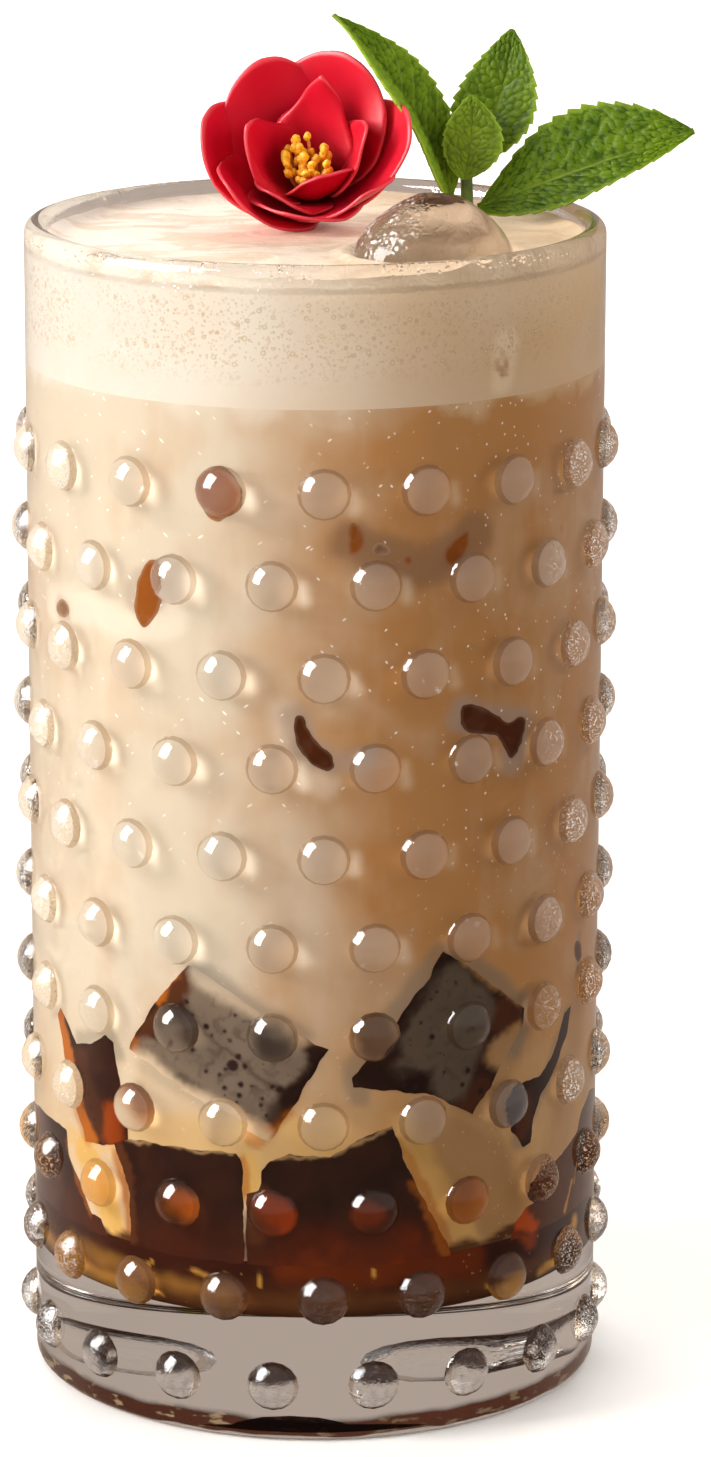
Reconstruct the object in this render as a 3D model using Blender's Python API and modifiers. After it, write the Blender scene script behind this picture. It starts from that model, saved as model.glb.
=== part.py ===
"""Iced chai latte in a tall hobnail glass, with jelly cubes, foam, ice, a camellia and mint.

Run with: blender --background --python part.py
Units are metres, +Z is up, and the origin is the centre of the glass's flat underside.
Azimuths are in degrees about +Z: 0 points along -Y, the front, and positive turns towards +X.
"""

import math
import random

import bmesh
import bpy
from mathutils import Matrix, Vector, noise

MM = 0.001
GAP = 0.3 * MM

# Glass
GLASS_RADIUS = 36.0 * MM
GLASS_HEIGHT = 147.0 * MM
WALL = 2.9 * MM
FLOOR = 15.2 * MM
FOOT_ROUND = 1.2 * MM
FLOOR_ROUND = 2.5 * MM
CAVITY_RADIUS = GLASS_RADIUS - WALL
GLASS_STEPS = 36
PHASE = 1.7

# Hobnails: a spherical cap of this width and height on the wall, in rows from the top down
BUMP_WIDTH = 6.4 * MM
BUMP_HEIGHT = 2.0 * MM
BUMP_SIDES = 6
BUMP_COLUMNS = 18
BUMP_ROOT = 1.2 * MM
BUMP_SHOULDER = 0.62
TOP_ROW = 119.7 * MM
ROW_PITCH = 11.25 * MM
ROWS = 11
PLAIN_ROWS = (0, 2, 4, 7, 9)

# Contents, from the floor up
CONTENT_RADIUS = CAVITY_RADIUS - GAP
SYRUP_TOP = 22.5 * MM
LATTE_TOP = 129.4 * MM
FOAM_TOP = 144.6 * MM
FOAM_RINGS = 4
FOAM_RIPPLE = 0.5 * MM
FOAM_RIPPLE_SIZE = 9.0 * MM

# Ice cube standing out of the foam
ICE_CENTRE = Vector((14.5, -11.5, 141.5)) * MM
ICE_HALF = Vector((9.95, 8.0, 10.5)) * MM
ICE_POWER = 2.6
ICE_TURN = 12.0

# Jelly cubes, in millimetres: how far the boxes reach past the wall before they are trimmed
JELLY_REACH = 6.0
JELLY_BEVEL = 0.9

# Camellia, in its own frame with the axis along +Z
FLOWER_BASE = Vector((-0.5, 13.2, 148.7)) * MM
FLOWER_TILT = 45.0
FLOWER_TURN = -5.0
FLOWER_SIZE = 1.16
PETAL_THICK = 0.55 * MM
PETAL_GRID = (4, 4)
STAMENS = 12
STAMEN_RING = 2.1 * MM
STAMEN_FOOT = 2.1 * MM
STAMEN_LENGTH = 4.6 * MM
FILAMENT_RADII = (0.32 * MM, 0.26 * MM)
ANTHER_RADIUS = 0.55 * MM
HEART_RADIUS = 2.3 * MM
HEART_FLATNESS = 0.6

# Mint sprig
STEM_FOOT = Vector((19.6, 14.0, 138.0)) * MM
STEM_TOP = Vector((19.0, 14.6, 150.5)) * MM
STEM_RADIUS = 0.95 * MM
LEAF_THICK = 0.4 * MM
LEAF_GRID = (4, 12)


def clear_scene():
    for obj in list(bpy.data.objects):
        bpy.data.objects.remove(obj, do_unlink=True)
    for collection in list(bpy.data.collections):
        bpy.data.collections.remove(collection)


def new_collection(name):
    collection = bpy.data.collections.new(name)
    bpy.context.scene.collection.children.link(collection)
    return collection


def material(name, colour, roughness, transmission=0.0):
    found = bpy.data.materials.get(name)
    if found:
        return found
    made = bpy.data.materials.new(name)
    made.use_nodes = True
    shader = made.node_tree.nodes["Principled BSDF"]
    shader.inputs["Base Color"].default_value = (*colour, 1.0)
    shader.inputs["Roughness"].default_value = roughness
    shader.inputs["Metallic"].default_value = 0.0
    shader.inputs["Transmission Weight"].default_value = transmission
    made.diffuse_color = (*colour, 1.0)
    return made


def glass_material():
    return material("clear_glass", (0.93, 0.95, 0.94), 0.03, 1.0)


def jelly_material():
    return material("dark_jelly", (0.05, 0.018, 0.012), 0.12)


def petal_material():
    return material("red_petal", (0.58, 0.005, 0.03), 0.45)


def leaf_material():
    return material("mint_green", (0.09, 0.25, 0.03), 0.45)


def object_from(bm, name, finish, collection):
    """Turns a bmesh into a named object with smooth shading on its round stretches."""
    bmesh.ops.recalc_face_normals(bm, faces=bm.faces)
    mesh = bpy.data.meshes.new(name)
    bm.to_mesh(mesh)
    bm.free()
    mesh.materials.append(finish)
    obj = bpy.data.objects.new(name, mesh)
    collection.objects.link(obj)
    shade(obj, 40)
    return obj


def hide_tool(obj):
    obj.hide_render = True
    obj.display_type = "WIRE"


def apply_modifiers(obj):
    graph = bpy.context.evaluated_depsgraph_get()
    mesh = bpy.data.meshes.new_from_object(obj.evaluated_get(graph))
    obj.modifiers.clear()
    old = obj.data
    obj.data = mesh
    bpy.data.meshes.remove(old)


def fuse(body, tools, solver):
    """Joins every object of a collection to the body in one union, and removes them."""
    union = body.modifiers.new("fuse", "BOOLEAN")
    union.operation = "UNION"
    union.solver = solver
    union.operand_type = "COLLECTION"
    union.collection = tools
    apply_modifiers(body)
    for tool in list(tools.objects):
        bpy.data.objects.remove(tool, do_unlink=True)
    bpy.data.collections.remove(tools)
    keep_largest(body)


def keep_largest(body):
    """Keeps the outer skin, so that a hollow sealed by fusing is filled and a loose scrap dropped."""
    bm = bmesh.new()
    bm.from_mesh(body.data)
    left = set(bm.verts)
    shells = []
    while left:
        shell = {left.pop()}
        front = list(shell)
        while front:
            vert = front.pop()
            near = {edge.other_vert(vert) for edge in vert.link_edges}
            near &= left
            left -= near
            shell |= near
            front += near
        shells.append(shell)
    largest = max(shells, key=len)
    bmesh.ops.delete(bm, geom=[vert for vert in bm.verts if vert not in largest], context="VERTS")
    bm.to_mesh(body.data)
    bm.free()


def shade(obj, sharp):
    """Smooth shading on round stretches, with edges kept where faces turn more than the angle."""
    obj.data.shade_smooth()
    obj.data.set_sharp_from_angle(angle=math.radians(sharp))


def cut(body, tools):
    difference = body.modifiers.new("cut", "BOOLEAN")
    difference.operation = "DIFFERENCE"
    difference.operand_type = "COLLECTION"
    difference.collection = tools
    apply_modifiers(body)
    shade(body, 30)


def arc(centre, radius, start, end, steps):
    """Points (r, z) on an arc, angles in degrees from the +r direction."""
    points = []
    for step in range(steps + 1):
        angle = math.radians(start + (end - start) * step / steps)
        points.append((centre[0] + radius * math.cos(angle), centre[1] + radius * math.sin(angle)))
    return points


def turned(name, profile, finish, collection):
    """A solid turned about Z from a profile (r, z) that climbs inside and comes down outside."""
    bm = bmesh.new()
    corners = [bm.verts.new((r, 0.0, z)) for r, z in profile]
    for first, second in zip(corners, corners[1:]):
        bm.edges.new((first, second))
    obj = object_from(bm, name, finish, collection)
    screw = obj.modifiers.new("turn", "SCREW")
    screw.steps = GLASS_STEPS
    screw.render_steps = GLASS_STEPS
    screw.use_merge_vertices = True
    screw.merge_threshold = 0.00001
    screw.use_smooth_shade = True
    obj.rotation_euler.z = math.radians(PHASE)
    return obj


def outwards(azimuth):
    angle = math.radians(azimuth)
    return Vector((math.sin(angle), -math.cos(angle), 0.0))


def sideways(azimuth):
    angle = math.radians(azimuth)
    return Vector((math.cos(angle), math.sin(angle), 0.0))


def glass_profile():
    lip = WALL / 2
    middle = GLASS_RADIUS - lip
    points = [(0.0, FLOOR), (CAVITY_RADIUS - FLOOR_ROUND, FLOOR)]
    points += arc((CAVITY_RADIUS - FLOOR_ROUND, FLOOR + FLOOR_ROUND), FLOOR_ROUND, -45, 0, 1)
    points += arc((middle, GLASS_HEIGHT - lip), lip, 180, 0, 4)
    points += arc((GLASS_RADIUS - FOOT_ROUND, FOOT_ROUND), FOOT_ROUND, 0, -90, 2)
    points.append((0.0, 0.0))
    return points


def bump_mesh():
    """A low dome along +Z, its widest ring sunk in the wall and its apex BUMP_HEIGHT proud."""
    half = BUMP_WIDTH / 2
    sphere = (half**2 + BUMP_HEIGHT**2) / (2 * BUMP_HEIGHT)
    centre = BUMP_HEIGHT - sphere
    shoulder = BUMP_HEIGHT * BUMP_SHOULDER
    root_radius = math.sqrt(sphere**2 - (BUMP_ROOT + centre) ** 2)
    top_radius = math.sqrt(sphere**2 - (shoulder - centre) ** 2)
    bm = bmesh.new()
    bmesh.ops.create_cone(
        bm,
        cap_ends=True,
        segments=BUMP_SIDES,
        radius1=root_radius,
        radius2=top_radius,
        depth=BUMP_ROOT + shoulder,
        matrix=Matrix.Translation((0, 0, (shoulder - BUMP_ROOT) / 2))
        @ Matrix.Rotation(math.pi / BUMP_SIDES, 4, "Z"),
    )
    bm.faces.ensure_lookup_table()
    crown = max(bm.faces, key=lambda face: face.calc_center_median().z)
    apex = bmesh.ops.poke(bm, faces=[crown])["verts"][0]
    apex.co.z = BUMP_HEIGHT
    bmesh.ops.recalc_face_normals(bm, faces=bm.faces)
    mesh = bpy.data.meshes.new("bump")
    bm.to_mesh(mesh)
    bm.free()
    return mesh


def make_glass(parts):
    glass = turned("glass", glass_profile(), glass_material(), parts)
    apply_modifiers(glass)
    bumps = new_collection("bump_tools")
    dome = bump_mesh()
    for row in range(ROWS):
        shift = 0.0 if row in PLAIN_ROWS else 0.5
        for column in range(BUMP_COLUMNS):
            azimuth = PHASE + 360.0 * (column + shift) / BUMP_COLUMNS
            out = outwards(azimuth)
            bump = bpy.data.objects.new(f"bump_{row}_{column}", dome)
            frame = Matrix((sideways(azimuth), Vector((0, 0, 1)), out)).transposed().to_4x4()
            place = Matrix.Translation(out * GLASS_RADIUS + Vector((0, 0, TOP_ROW - row * ROW_PITCH)))
            bump.matrix_world = place @ frame
            bumps.objects.link(bump)
    fuse(glass, bumps, "MANIFOLD")
    shade(glass, 50)
    return glass


def layer(name, low, high, finish, parts, rounding=0.0):
    """A plain disc of the cavity's width between two heights."""
    radius = CONTENT_RADIUS
    profile = [(0.0, high), (radius, high)]
    if rounding:
        profile += arc((radius - rounding, low + rounding), rounding, 0, -45, 1)
        profile.append((radius - rounding, low))
    else:
        profile.append((radius, low))
    profile.append((0.0, low))
    return turned(name, profile, finish, parts)


# Jelly cubes, by name: azimuth the cube faces, sideways offset, width, height, depth from the wall,
# height of its middle and its roll, in degrees and millimetres.
LOWER_JELLY = (
    ("front_left", -14.5, -8.4, 16.0, 13.6, 18.0, 29.0, 1.5),
    ("front", -14.5, 9.6, 18.4, 16.6, 18.0, 29.6, 7.0),
    ("far_left", -14.5, -26.0, 13.2, 13.6, 26.0, 26.0, 2.0),
    ("right", 81.0, -6.6, 16.8, 15.0, 15.0, 24.2, 9.0),
    ("right_back", 116.0, 0.6, 12.0, 15.0, 9.5, 28.5, -5.0),
    ("back_right", 180.0, -8.8, 16.6, 16.0, 17.0, 29.0, -4.0),
    ("back_left", 180.0, 8.8, 16.6, 15.0, 17.0, 28.5, 4.0),
    ("left_back", -117.0, -0.4, 11.6, 14.0, 9.5, 28.0, 6.0),
)
UPPER_JELLY = (
    ("upper_left", -53.0, 0.0, 10.6, 13.0, 8.0, 43.9, 12.0),
    ("upper_front_left", -18.7, 0.0, 19.8, 13.0, 8.0, 49.6, -27.8),
    ("upper_front_right", 28.6, 0.0, 14.4, 15.8, 8.0, 50.6, -34.0),
    ("upper_right", 63.0, 0.0, 8.0, 15.0, 8.0, 43.5, 17.0),
    ("upper_right_back", 118.0, 0.0, 15.0, 13.5, 11.0, 49.0, 28.0),
    ("upper_back", 172.0, 0.0, 17.0, 13.0, 11.0, 50.0, -22.0),
    ("upper_left_back", -116.0, 0.0, 15.5, 14.0, 11.0, 48.5, 20.0),
)


def jelly_block(azimuth, offset, width, tall, depth, middle, roll, grow):
    """A box against the wall that faces the azimuth, grown on each side, as a bmesh in world space."""
    inner = CAVITY_RADIUS / MM - depth - grow
    outer = CAVITY_RADIUS / MM + JELLY_REACH
    centre = outwards(azimuth) * (inner + outer) / 2 + sideways(azimuth) * offset
    centre.z = middle
    frame = Matrix((sideways(azimuth), outwards(azimuth), Vector((0, 0, 1)))).transposed()
    turn = Matrix.Rotation(math.radians(-roll), 3, "Y")
    size = Matrix.Diagonal((width + 2 * grow, outer - inner, tall + 2 * grow))
    bm = bmesh.new()
    shape = (frame @ turn @ size).to_4x4()
    bmesh.ops.create_cube(bm, size=1.0, matrix=Matrix.Translation(centre) @ shape)
    bmesh.ops.bevel(
        bm, geom=bm.edges[:], offset=JELLY_BEVEL, segments=1, affect="EDGES", profile=0.5, material=-1
    )
    bmesh.ops.scale(bm, vec=(MM, MM, MM), verts=bm.verts)
    return bm


def keep_inside(name, low, high, tools):
    """A hidden disc that trims a jelly cube to the cavity and to the layer it lies on."""
    tool = layer(name, low, high, jelly_material(), tools)
    hide_tool(tool)
    return tool


def make_jelly(parts, tools, pockets):
    low = SYRUP_TOP + GAP
    room = keep_inside("jelly_room", low, LATTE_TOP - GAP, tools)
    for name, *shape in LOWER_JELLY + UPPER_JELLY:
        cube = object_from(jelly_block(*shape, grow=0.0), f"jelly_{name}", jelly_material(), parts)
        trim = cube.modifiers.new("trim", "BOOLEAN")
        trim.operation = "INTERSECT"
        trim.object = room
        pocket = jelly_block(*shape, grow=GAP / MM)
        hide_tool(object_from(pocket, f"pocket_{name}", jelly_material(), pockets))


def make_latte(parts, pockets):
    finish = material("chai_latte", (0.62, 0.43, 0.27), 0.35)
    latte = layer("latte", SYRUP_TOP + GAP, LATTE_TOP, finish, parts)
    cut(latte, pockets)
    return latte


def make_syrup(parts):
    finish = material("brown_syrup", (0.09, 0.022, 0.008), 0.1)
    return layer("syrup", FLOOR + GAP, SYRUP_TOP, finish, parts, rounding=FLOOR_ROUND)


def make_foam(parts, pockets):
    finish = material("milk_foam", (0.82, 0.74, 0.64), 0.6)
    low = LATTE_TOP + GAP
    bm = bmesh.new()
    bmesh.ops.create_cone(
        bm,
        cap_ends=True,
        segments=GLASS_STEPS,
        radius1=CONTENT_RADIUS,
        radius2=CONTENT_RADIUS,
        depth=FOAM_TOP - low,
        matrix=Matrix.Translation((0, 0, (FOAM_TOP + low) / 2))
        @ Matrix.Rotation(math.radians(PHASE), 4, "Z"),
    )
    top = max(bm.faces, key=lambda face: face.calc_center_median().z)
    for _ in range(FOAM_RINGS):
        bmesh.ops.inset_region(bm, faces=[top], thickness=CONTENT_RADIUS / (FOAM_RINGS + 1))
    bmesh.ops.poke(bm, faces=[top])
    for vert in bm.verts:
        if vert.co.z > low + GAP:
            vert.co.z += FOAM_RIPPLE * noise.noise(vert.co / FOAM_RIPPLE_SIZE)
    foam = object_from(bm, "foam", finish, parts)
    cut(foam, pockets)
    return foam


def ice_block(grow):
    """A rounded, slightly lopsided block of ice."""
    bm = bmesh.new()
    bmesh.ops.create_uvsphere(bm, u_segments=16, v_segments=10, radius=1.0)
    turn = Matrix.Rotation(math.radians(ICE_TURN), 3, "Z")
    for vert in bm.verts:
        unit = vert.co.copy()
        reach = sum(abs(unit[axis]) ** ICE_POWER for axis in range(3)) ** (-1 / ICE_POWER)
        bulge = 1 + 0.03 * noise.noise(unit * 1.7)
        point = Vector([unit[axis] * (ICE_HALF[axis] * reach * bulge + grow) for axis in range(3)])
        vert.co = ICE_CENTRE + turn @ point
    return bm


def make_ice(parts, pockets):
    finish = material("ice", (0.85, 0.8, 0.74), 0.05, 0.9)
    ice = object_from(ice_block(0.0), "ice_cube", finish, parts)
    hide_tool(object_from(ice_block(2 * GAP), "ice_pocket", finish, pockets))
    return ice


# Petals: azimuth about the flower's axis with 0 at its lower side, length, half width, how far each
# leans out at its root and at its tip, its skew and how pointed it is.
OUTER_PETALS = (
    (-150.0, 14.6, 7.6, 68.0, 16.0, 0.5, 0.15),
    (158.0, 15.0, 8.2, 66.0, 14.0, 0.5, 0.1),
    (98.0, 14.6, 7.4, 74.0, 18.0, 0.5, 0.1),
    (45.0, 13.6, 6.8, 74.0, 14.0, 0.5, 0.3),
    (-8.0, 12.8, 6.8, 74.0, 14.0, 0.5, 0.1),
    (-52.0, 13.8, 6.6, 74.0, 16.0, 0.5, 0.2),
    (-100.0, 14.4, 7.2, 74.0, 20.0, 0.5, 0.15),
)
INNER_PETALS = (
    (-92.0, 11.6, 5.8, 52.0, 2.0, 0.35, 0.6),
    (168.0, 11.8, 4.8, 50.0, 6.0, 0.35, 0.9),
    (100.0, 11.0, 4.2, 58.0, 0.0, 0.35, 0.2),
    (30.0, 8.6, 3.6, 60.0, 8.0, 0.35, 0.0),
    (-30.0, 9.0, 4.6, 64.0, 16.0, 0.35, 0.1),
)


def petal_point(across, along, azimuth, length, half_width, lean_root, lean_tip, skew, point):
    """A place on a petal: it climbs from the flower's centre, wraps round the axis and ends round."""
    steps = 12
    reach = along * (1 - 0.24 * abs(across) ** 2.2 * along + point * (0.14 - 0.3 * abs(across)) * along**3)
    radius = 0.8
    height = 0.0
    for step in range(steps):
        share = reach * (step + 0.5) / steps
        lean = math.radians(lean_root + (lean_tip - lean_root) * share)
        radius += math.sin(lean) * length * reach / steps
        height += math.cos(lean) * length * reach / steps
    spread = 0.22 + 0.78 * math.sin(math.pi / 2 * min(1.0, along / 0.62))
    width = half_width * spread * (1 - (0.2 + 0.3 * point) * max(0.0, along - 0.62) / 0.38)
    angle = math.radians(azimuth) + across * width / max(radius, 3.2)
    radius += skew * across * min(1.0, 2 * along) + 0.5 * across**2 * along
    return Vector((math.sin(angle) * radius, -math.cos(angle) * radius, height)) * MM


def petal_sheet(shape):
    columns, rows = PETAL_GRID
    bm = bmesh.new()
    bmesh.ops.create_grid(bm, x_segments=columns, y_segments=rows, size=1.0)
    for vert in bm.verts:
        vert.co = petal_point(vert.co.x, (vert.co.y + 1) / 2, *shape)
    bmesh.ops.triangulate(bm, faces=bm.faces)
    return bm


def flower_frame():
    lean = Matrix.Rotation(math.radians(90.0 - FLOWER_TILT), 4, "X")
    turn = Matrix.Rotation(math.radians(FLOWER_TURN), 4, "Z")
    return Matrix.Translation(FLOWER_BASE) @ turn @ lean @ Matrix.Scale(FLOWER_SIZE, 4)


def thicken(obj, thickness):
    solid = obj.modifiers.new("thickness", "SOLIDIFY")
    solid.thickness = thickness
    solid.offset = 0.0
    solid.use_even_offset = False


def make_petals(parts):
    finish = petal_material()
    heart = bmesh.new()
    bmesh.ops.create_uvsphere(heart, u_segments=10, v_segments=6, radius=HEART_RADIUS)
    bmesh.ops.scale(heart, vec=(1.0, 1.0, HEART_FLATNESS), verts=heart.verts)
    flower = object_from(heart, "flower_petals", finish, parts)
    flower.matrix_world = flower_frame()
    petals = new_collection("petal_tools")
    for number, shape in enumerate(OUTER_PETALS + INNER_PETALS):
        petal = object_from(petal_sheet(shape), f"petal_{number}", finish, petals)
        petal.matrix_world = flower_frame()
        thicken(petal, PETAL_THICK)
    fuse(flower, petals, "MANIFOLD")
    shade(flower, 50)
    return flower


def make_stamens(parts):
    """A ring of filaments with an anther on each, on a thin collar above the flower's heart."""
    finish = material("yellow_anther", (0.85, 0.48, 0.02), 0.6)
    collar = bmesh.new()
    bmesh.ops.create_cone(
        collar,
        cap_ends=True,
        segments=8,
        radius1=STAMEN_RING * 0.7,
        radius2=STAMEN_RING,
        depth=0.9 * MM,
        matrix=Matrix.Translation((0, 0, STAMEN_FOOT)),
    )
    stamens = object_from(collar, "flower_stamens", finish, parts)
    stamens.matrix_world = flower_frame()
    tools = new_collection("stamen_tools")
    chance = random.Random(4)
    for number in range(STAMENS):
        angle = 2 * math.pi * (number + 0.5) / STAMENS
        length = STAMEN_LENGTH * chance.uniform(0.85, 1.1)
        out = Vector((math.sin(angle), -math.cos(angle), 0.0))
        start = out * STAMEN_RING * 0.85 + Vector((0, 0, STAMEN_FOOT))
        end = out * STAMEN_RING * 1.15 + Vector((0, 0, STAMEN_FOOT + length))
        add_stamen(tools, finish, number, start, end)
    fuse(stamens, tools, "MANIFOLD")
    return stamens


def add_stamen(tools, finish, number, start, end):
    along = end - start
    place = Matrix.Translation((start + end) / 2) @ along.to_track_quat("Z", "Y").to_matrix().to_4x4()
    bm = bmesh.new()
    bmesh.ops.create_cone(
        bm,
        cap_ends=True,
        segments=4,
        radius1=FILAMENT_RADII[0],
        radius2=FILAMENT_RADII[1],
        depth=along.length,
        matrix=place,
    )
    filament = object_from(bm, f"filament_{number}", finish, tools)
    filament.matrix_world = flower_frame()
    bm = bmesh.new()
    bmesh.ops.create_icosphere(bm, subdivisions=1, radius=ANTHER_RADIUS, matrix=Matrix.Translation(end))
    anther = object_from(bm, f"anther_{number}", finish, tools)
    anther.matrix_world = flower_frame()


# Leaves, in millimetres and degrees: base and tip of the midrib, the way the upper face looks, half
# width and swell of the blade on each side, fold along the midrib, its bow sideways and out of the
# face, and how many waves run along the edge. A swell above 0.8 moves the widest place to the tip.
LEAVES = {
    "left": {
        "base": (16.9, 13.9, 147.2), "tip": (2.1, 12.0, 170.6), "face": (0.75, -0.62, 0.15),
        "left": (4.2, 0.8), "right": (3.8, 0.8), "fold": 38.0, "bow": 2.2, "arch": 1.2, "waves": 12,
    },
    "upright": {
        "base": (19.2, 15.4, 151.1), "tip": (24.8, 18.6, 168.0), "face": (-0.15, -0.95, 0.28),
        "left": (5.6, 0.8), "right": (5.6, 0.9), "fold": 16.0, "bow": 1.0, "arch": -0.6, "waves": 10,
    },
    "young": {
        "base": (18.6, 12.9, 149.8), "tip": (19.6, 12.6, 160.6), "face": (0.0, -0.97, 0.2),
        "left": (3.8, 0.9), "right": (4.4, 0.9), "fold": 14.0, "bow": 0.4, "arch": -0.4, "waves": 7,
    },
    "right": {
        "base": (20.5, 13.6, 146.2), "tip": (47.6, 14.0, 155.7), "face": (-0.12, -0.8, 0.58),
        "left": (8.2, 1.15), "right": (4.6, 0.7), "fold": 12.0, "bow": 0.2, "arch": 0.9, "waves": 13,
    },
}
TOOTH = 0.1
EDGE_WAVE = 0.25


def leaf_point(across, along, row, leaf):
    """A place on a leaf, in millimetres: across runs from -1 to 1 and along from 0 to 1."""
    base = Vector(leaf["base"])
    axis = Vector(leaf["tip"]) - base
    forward = axis.normalized()
    side = forward.cross(Vector(leaf["face"])).normalized()
    up = side.cross(forward).normalized()
    widest, swell = leaf["right"] if across > 0 else leaf["left"]
    half = widest * max(0.06, math.sin(math.pi * along**swell) ** 0.8)
    if abs(across) > 0.99 and row % 2:
        half *= 1 - TOOTH
    fold = math.radians(leaf["fold"])
    hump = 4 * along * (1 - along)
    wave = EDGE_WAVE * math.sin(along * leaf["waves"]) * across
    sideways_move = across * half * math.cos(fold) + leaf["bow"] * hump
    upward_move = abs(across) * half * math.sin(fold) + leaf["arch"] * hump + wave
    return base + axis * along + side * sideways_move + up * upward_move


def make_leaf(parts, name, leaf):
    columns, rows = LEAF_GRID
    bm = bmesh.new()
    bmesh.ops.create_grid(bm, x_segments=columns, y_segments=rows, size=1.0)
    for vert in bm.verts:
        along = (vert.co.y + 1) / 2
        vert.co = leaf_point(vert.co.x, along, round(along * rows), leaf) * MM
    bmesh.ops.triangulate(bm, faces=bm.faces)
    obj = object_from(bm, f"mint_leaf_{name}", leaf_material(), parts)
    thicken(obj, LEAF_THICK)
    return obj


def stem_rod(name, radius, finish, collection, drop=0.0):
    along = STEM_TOP - STEM_FOOT + Vector((0, 0, drop))
    middle = (STEM_TOP + STEM_FOOT - Vector((0, 0, drop))) / 2
    turn = along.to_track_quat("Z", "Y").to_matrix().to_4x4()
    bm = bmesh.new()
    bmesh.ops.create_cone(
        bm,
        cap_ends=True,
        segments=8,
        radius1=radius,
        radius2=radius,
        depth=along.length,
        matrix=Matrix.Translation(middle) @ turn,
    )
    return object_from(bm, name, finish, collection)


def make_stem(parts, pockets):
    finish = material("mint_stem", (0.1, 0.16, 0.03), 0.5)
    stem = stem_rod("mint_stem", STEM_RADIUS, finish, parts)
    hide_tool(stem_rod("stem_pocket", STEM_RADIUS + GAP, finish, pockets, drop=GAP))
    return stem


def main():
    clear_scene()
    parts = new_collection("iced_chai_latte")
    tools = new_collection("trimming_tools")
    jelly_pockets = new_collection("jelly_pockets")
    foam_pockets = new_collection("foam_pockets")
    make_glass(parts)
    make_syrup(parts)
    make_jelly(parts, tools, jelly_pockets)
    make_latte(parts, jelly_pockets)
    make_ice(parts, foam_pockets)
    make_stem(parts, foam_pockets)
    make_foam(parts, foam_pockets)
    make_petals(parts)
    make_stamens(parts)
    for name, leaf in LEAVES.items():
        make_leaf(parts, name, leaf)


main()
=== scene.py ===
"""Finishes for the iced chai latte: glass, drink, jelly, foam, ice, camellia and mint, with a plain stage."""

import math
import random

import bmesh
import bpy
import numpy as np
from bpy.props import FloatProperty, FloatVectorProperty, PointerProperty
from mathutils import Matrix, Vector, kdtree, noise


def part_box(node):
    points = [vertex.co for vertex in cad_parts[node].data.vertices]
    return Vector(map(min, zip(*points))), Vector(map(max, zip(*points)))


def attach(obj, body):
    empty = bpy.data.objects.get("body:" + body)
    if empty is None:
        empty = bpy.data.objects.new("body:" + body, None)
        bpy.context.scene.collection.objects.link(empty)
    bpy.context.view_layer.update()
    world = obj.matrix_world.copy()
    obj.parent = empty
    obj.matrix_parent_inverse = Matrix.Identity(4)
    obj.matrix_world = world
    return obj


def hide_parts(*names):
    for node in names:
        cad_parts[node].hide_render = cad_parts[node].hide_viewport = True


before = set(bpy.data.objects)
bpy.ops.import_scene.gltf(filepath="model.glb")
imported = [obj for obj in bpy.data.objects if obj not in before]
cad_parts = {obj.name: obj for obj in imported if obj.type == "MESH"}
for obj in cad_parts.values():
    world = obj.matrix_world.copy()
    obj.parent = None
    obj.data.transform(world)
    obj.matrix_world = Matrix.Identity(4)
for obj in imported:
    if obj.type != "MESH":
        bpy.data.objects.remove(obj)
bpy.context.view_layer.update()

bl_info = {
    "name": "Iced Chai Latte",
    "version": (1, 0, 0),
    "blender": (4, 5, 0),
    "location": "View3D > Sidebar > Drink",
    "description": "Builds the glass, the drink in it and its garnish around the packed frame",
    "category": "Object",
}

MM = 0.001
BODY = "root"
# Points nearer to each other than this are one point
SAME_PLACE = 0.002 * MM

# Sizes read from the frame
GLASS_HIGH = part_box("glass")[1]
LATTE_LOW, LATTE_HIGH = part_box("latte")
FOAM_LOW, FOAM_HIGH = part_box("foam")
SYRUP_LOW, SYRUP_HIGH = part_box("syrup")
GAP = 0.3 * MM
BUMP_HEIGHT = 2.0 * MM
GLASS_RADIUS = 36.0 * MM
CAVITY_RADIUS = 33.1 * MM
CAVITY_FLOOR = SYRUP_LOW.z - GAP
CAVITY_ROUND = 2.5 * MM
# Where the syrup meets the latte, and the latte the foam
SYRUP_TOP = (SYRUP_HIGH.z + LATTE_LOW.z) / 2
FOAM_LINE = (LATTE_HIGH.z + FOAM_LOW.z) / 2
INTO_WALL = 0.12 * MM
DRINK_RADIUS = CAVITY_RADIUS + INTO_WALL
JELLY_RADIUS = DRINK_RADIUS + 0.08 * MM
# How finely the latte and the syrup are divided, so that stains stay sharp
DRINK_STEPS = 440
LATTE_ROWS = 210
SYRUP_ROWS = 14

# Hobnails
BUMP_WIDTH = 6.4 * MM
BUMP_COLUMNS = 18
ROWS = 11
TOP_ROW = 119.7 * MM
ROW_PITCH = 11.25 * MM
PLAIN_ROWS = (0, 2, 4, 7, 9)
PHASE = 1.7
GLASS_STEPS = 144
DOME_SIDES = 16
DOME_RINGS = (0.0, 17.0, 34.5, 52.0, 69.3)
DOME_SUNK = 1.1 * MM
LEAST_DOME_FACES = 50
# The hollow under the glass: where it starts and where it is flat
PUNT_EDGE = 34.0 * MM
PUNT_FLAT = 14.0 * MM
PUNT_STEPS = 10


def colour_property(name, description, default):
    return FloatVectorProperty(
        name=name, description=description, default=default, subtype="COLOR", size=3, min=0.0, max=1.0
    )


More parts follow.
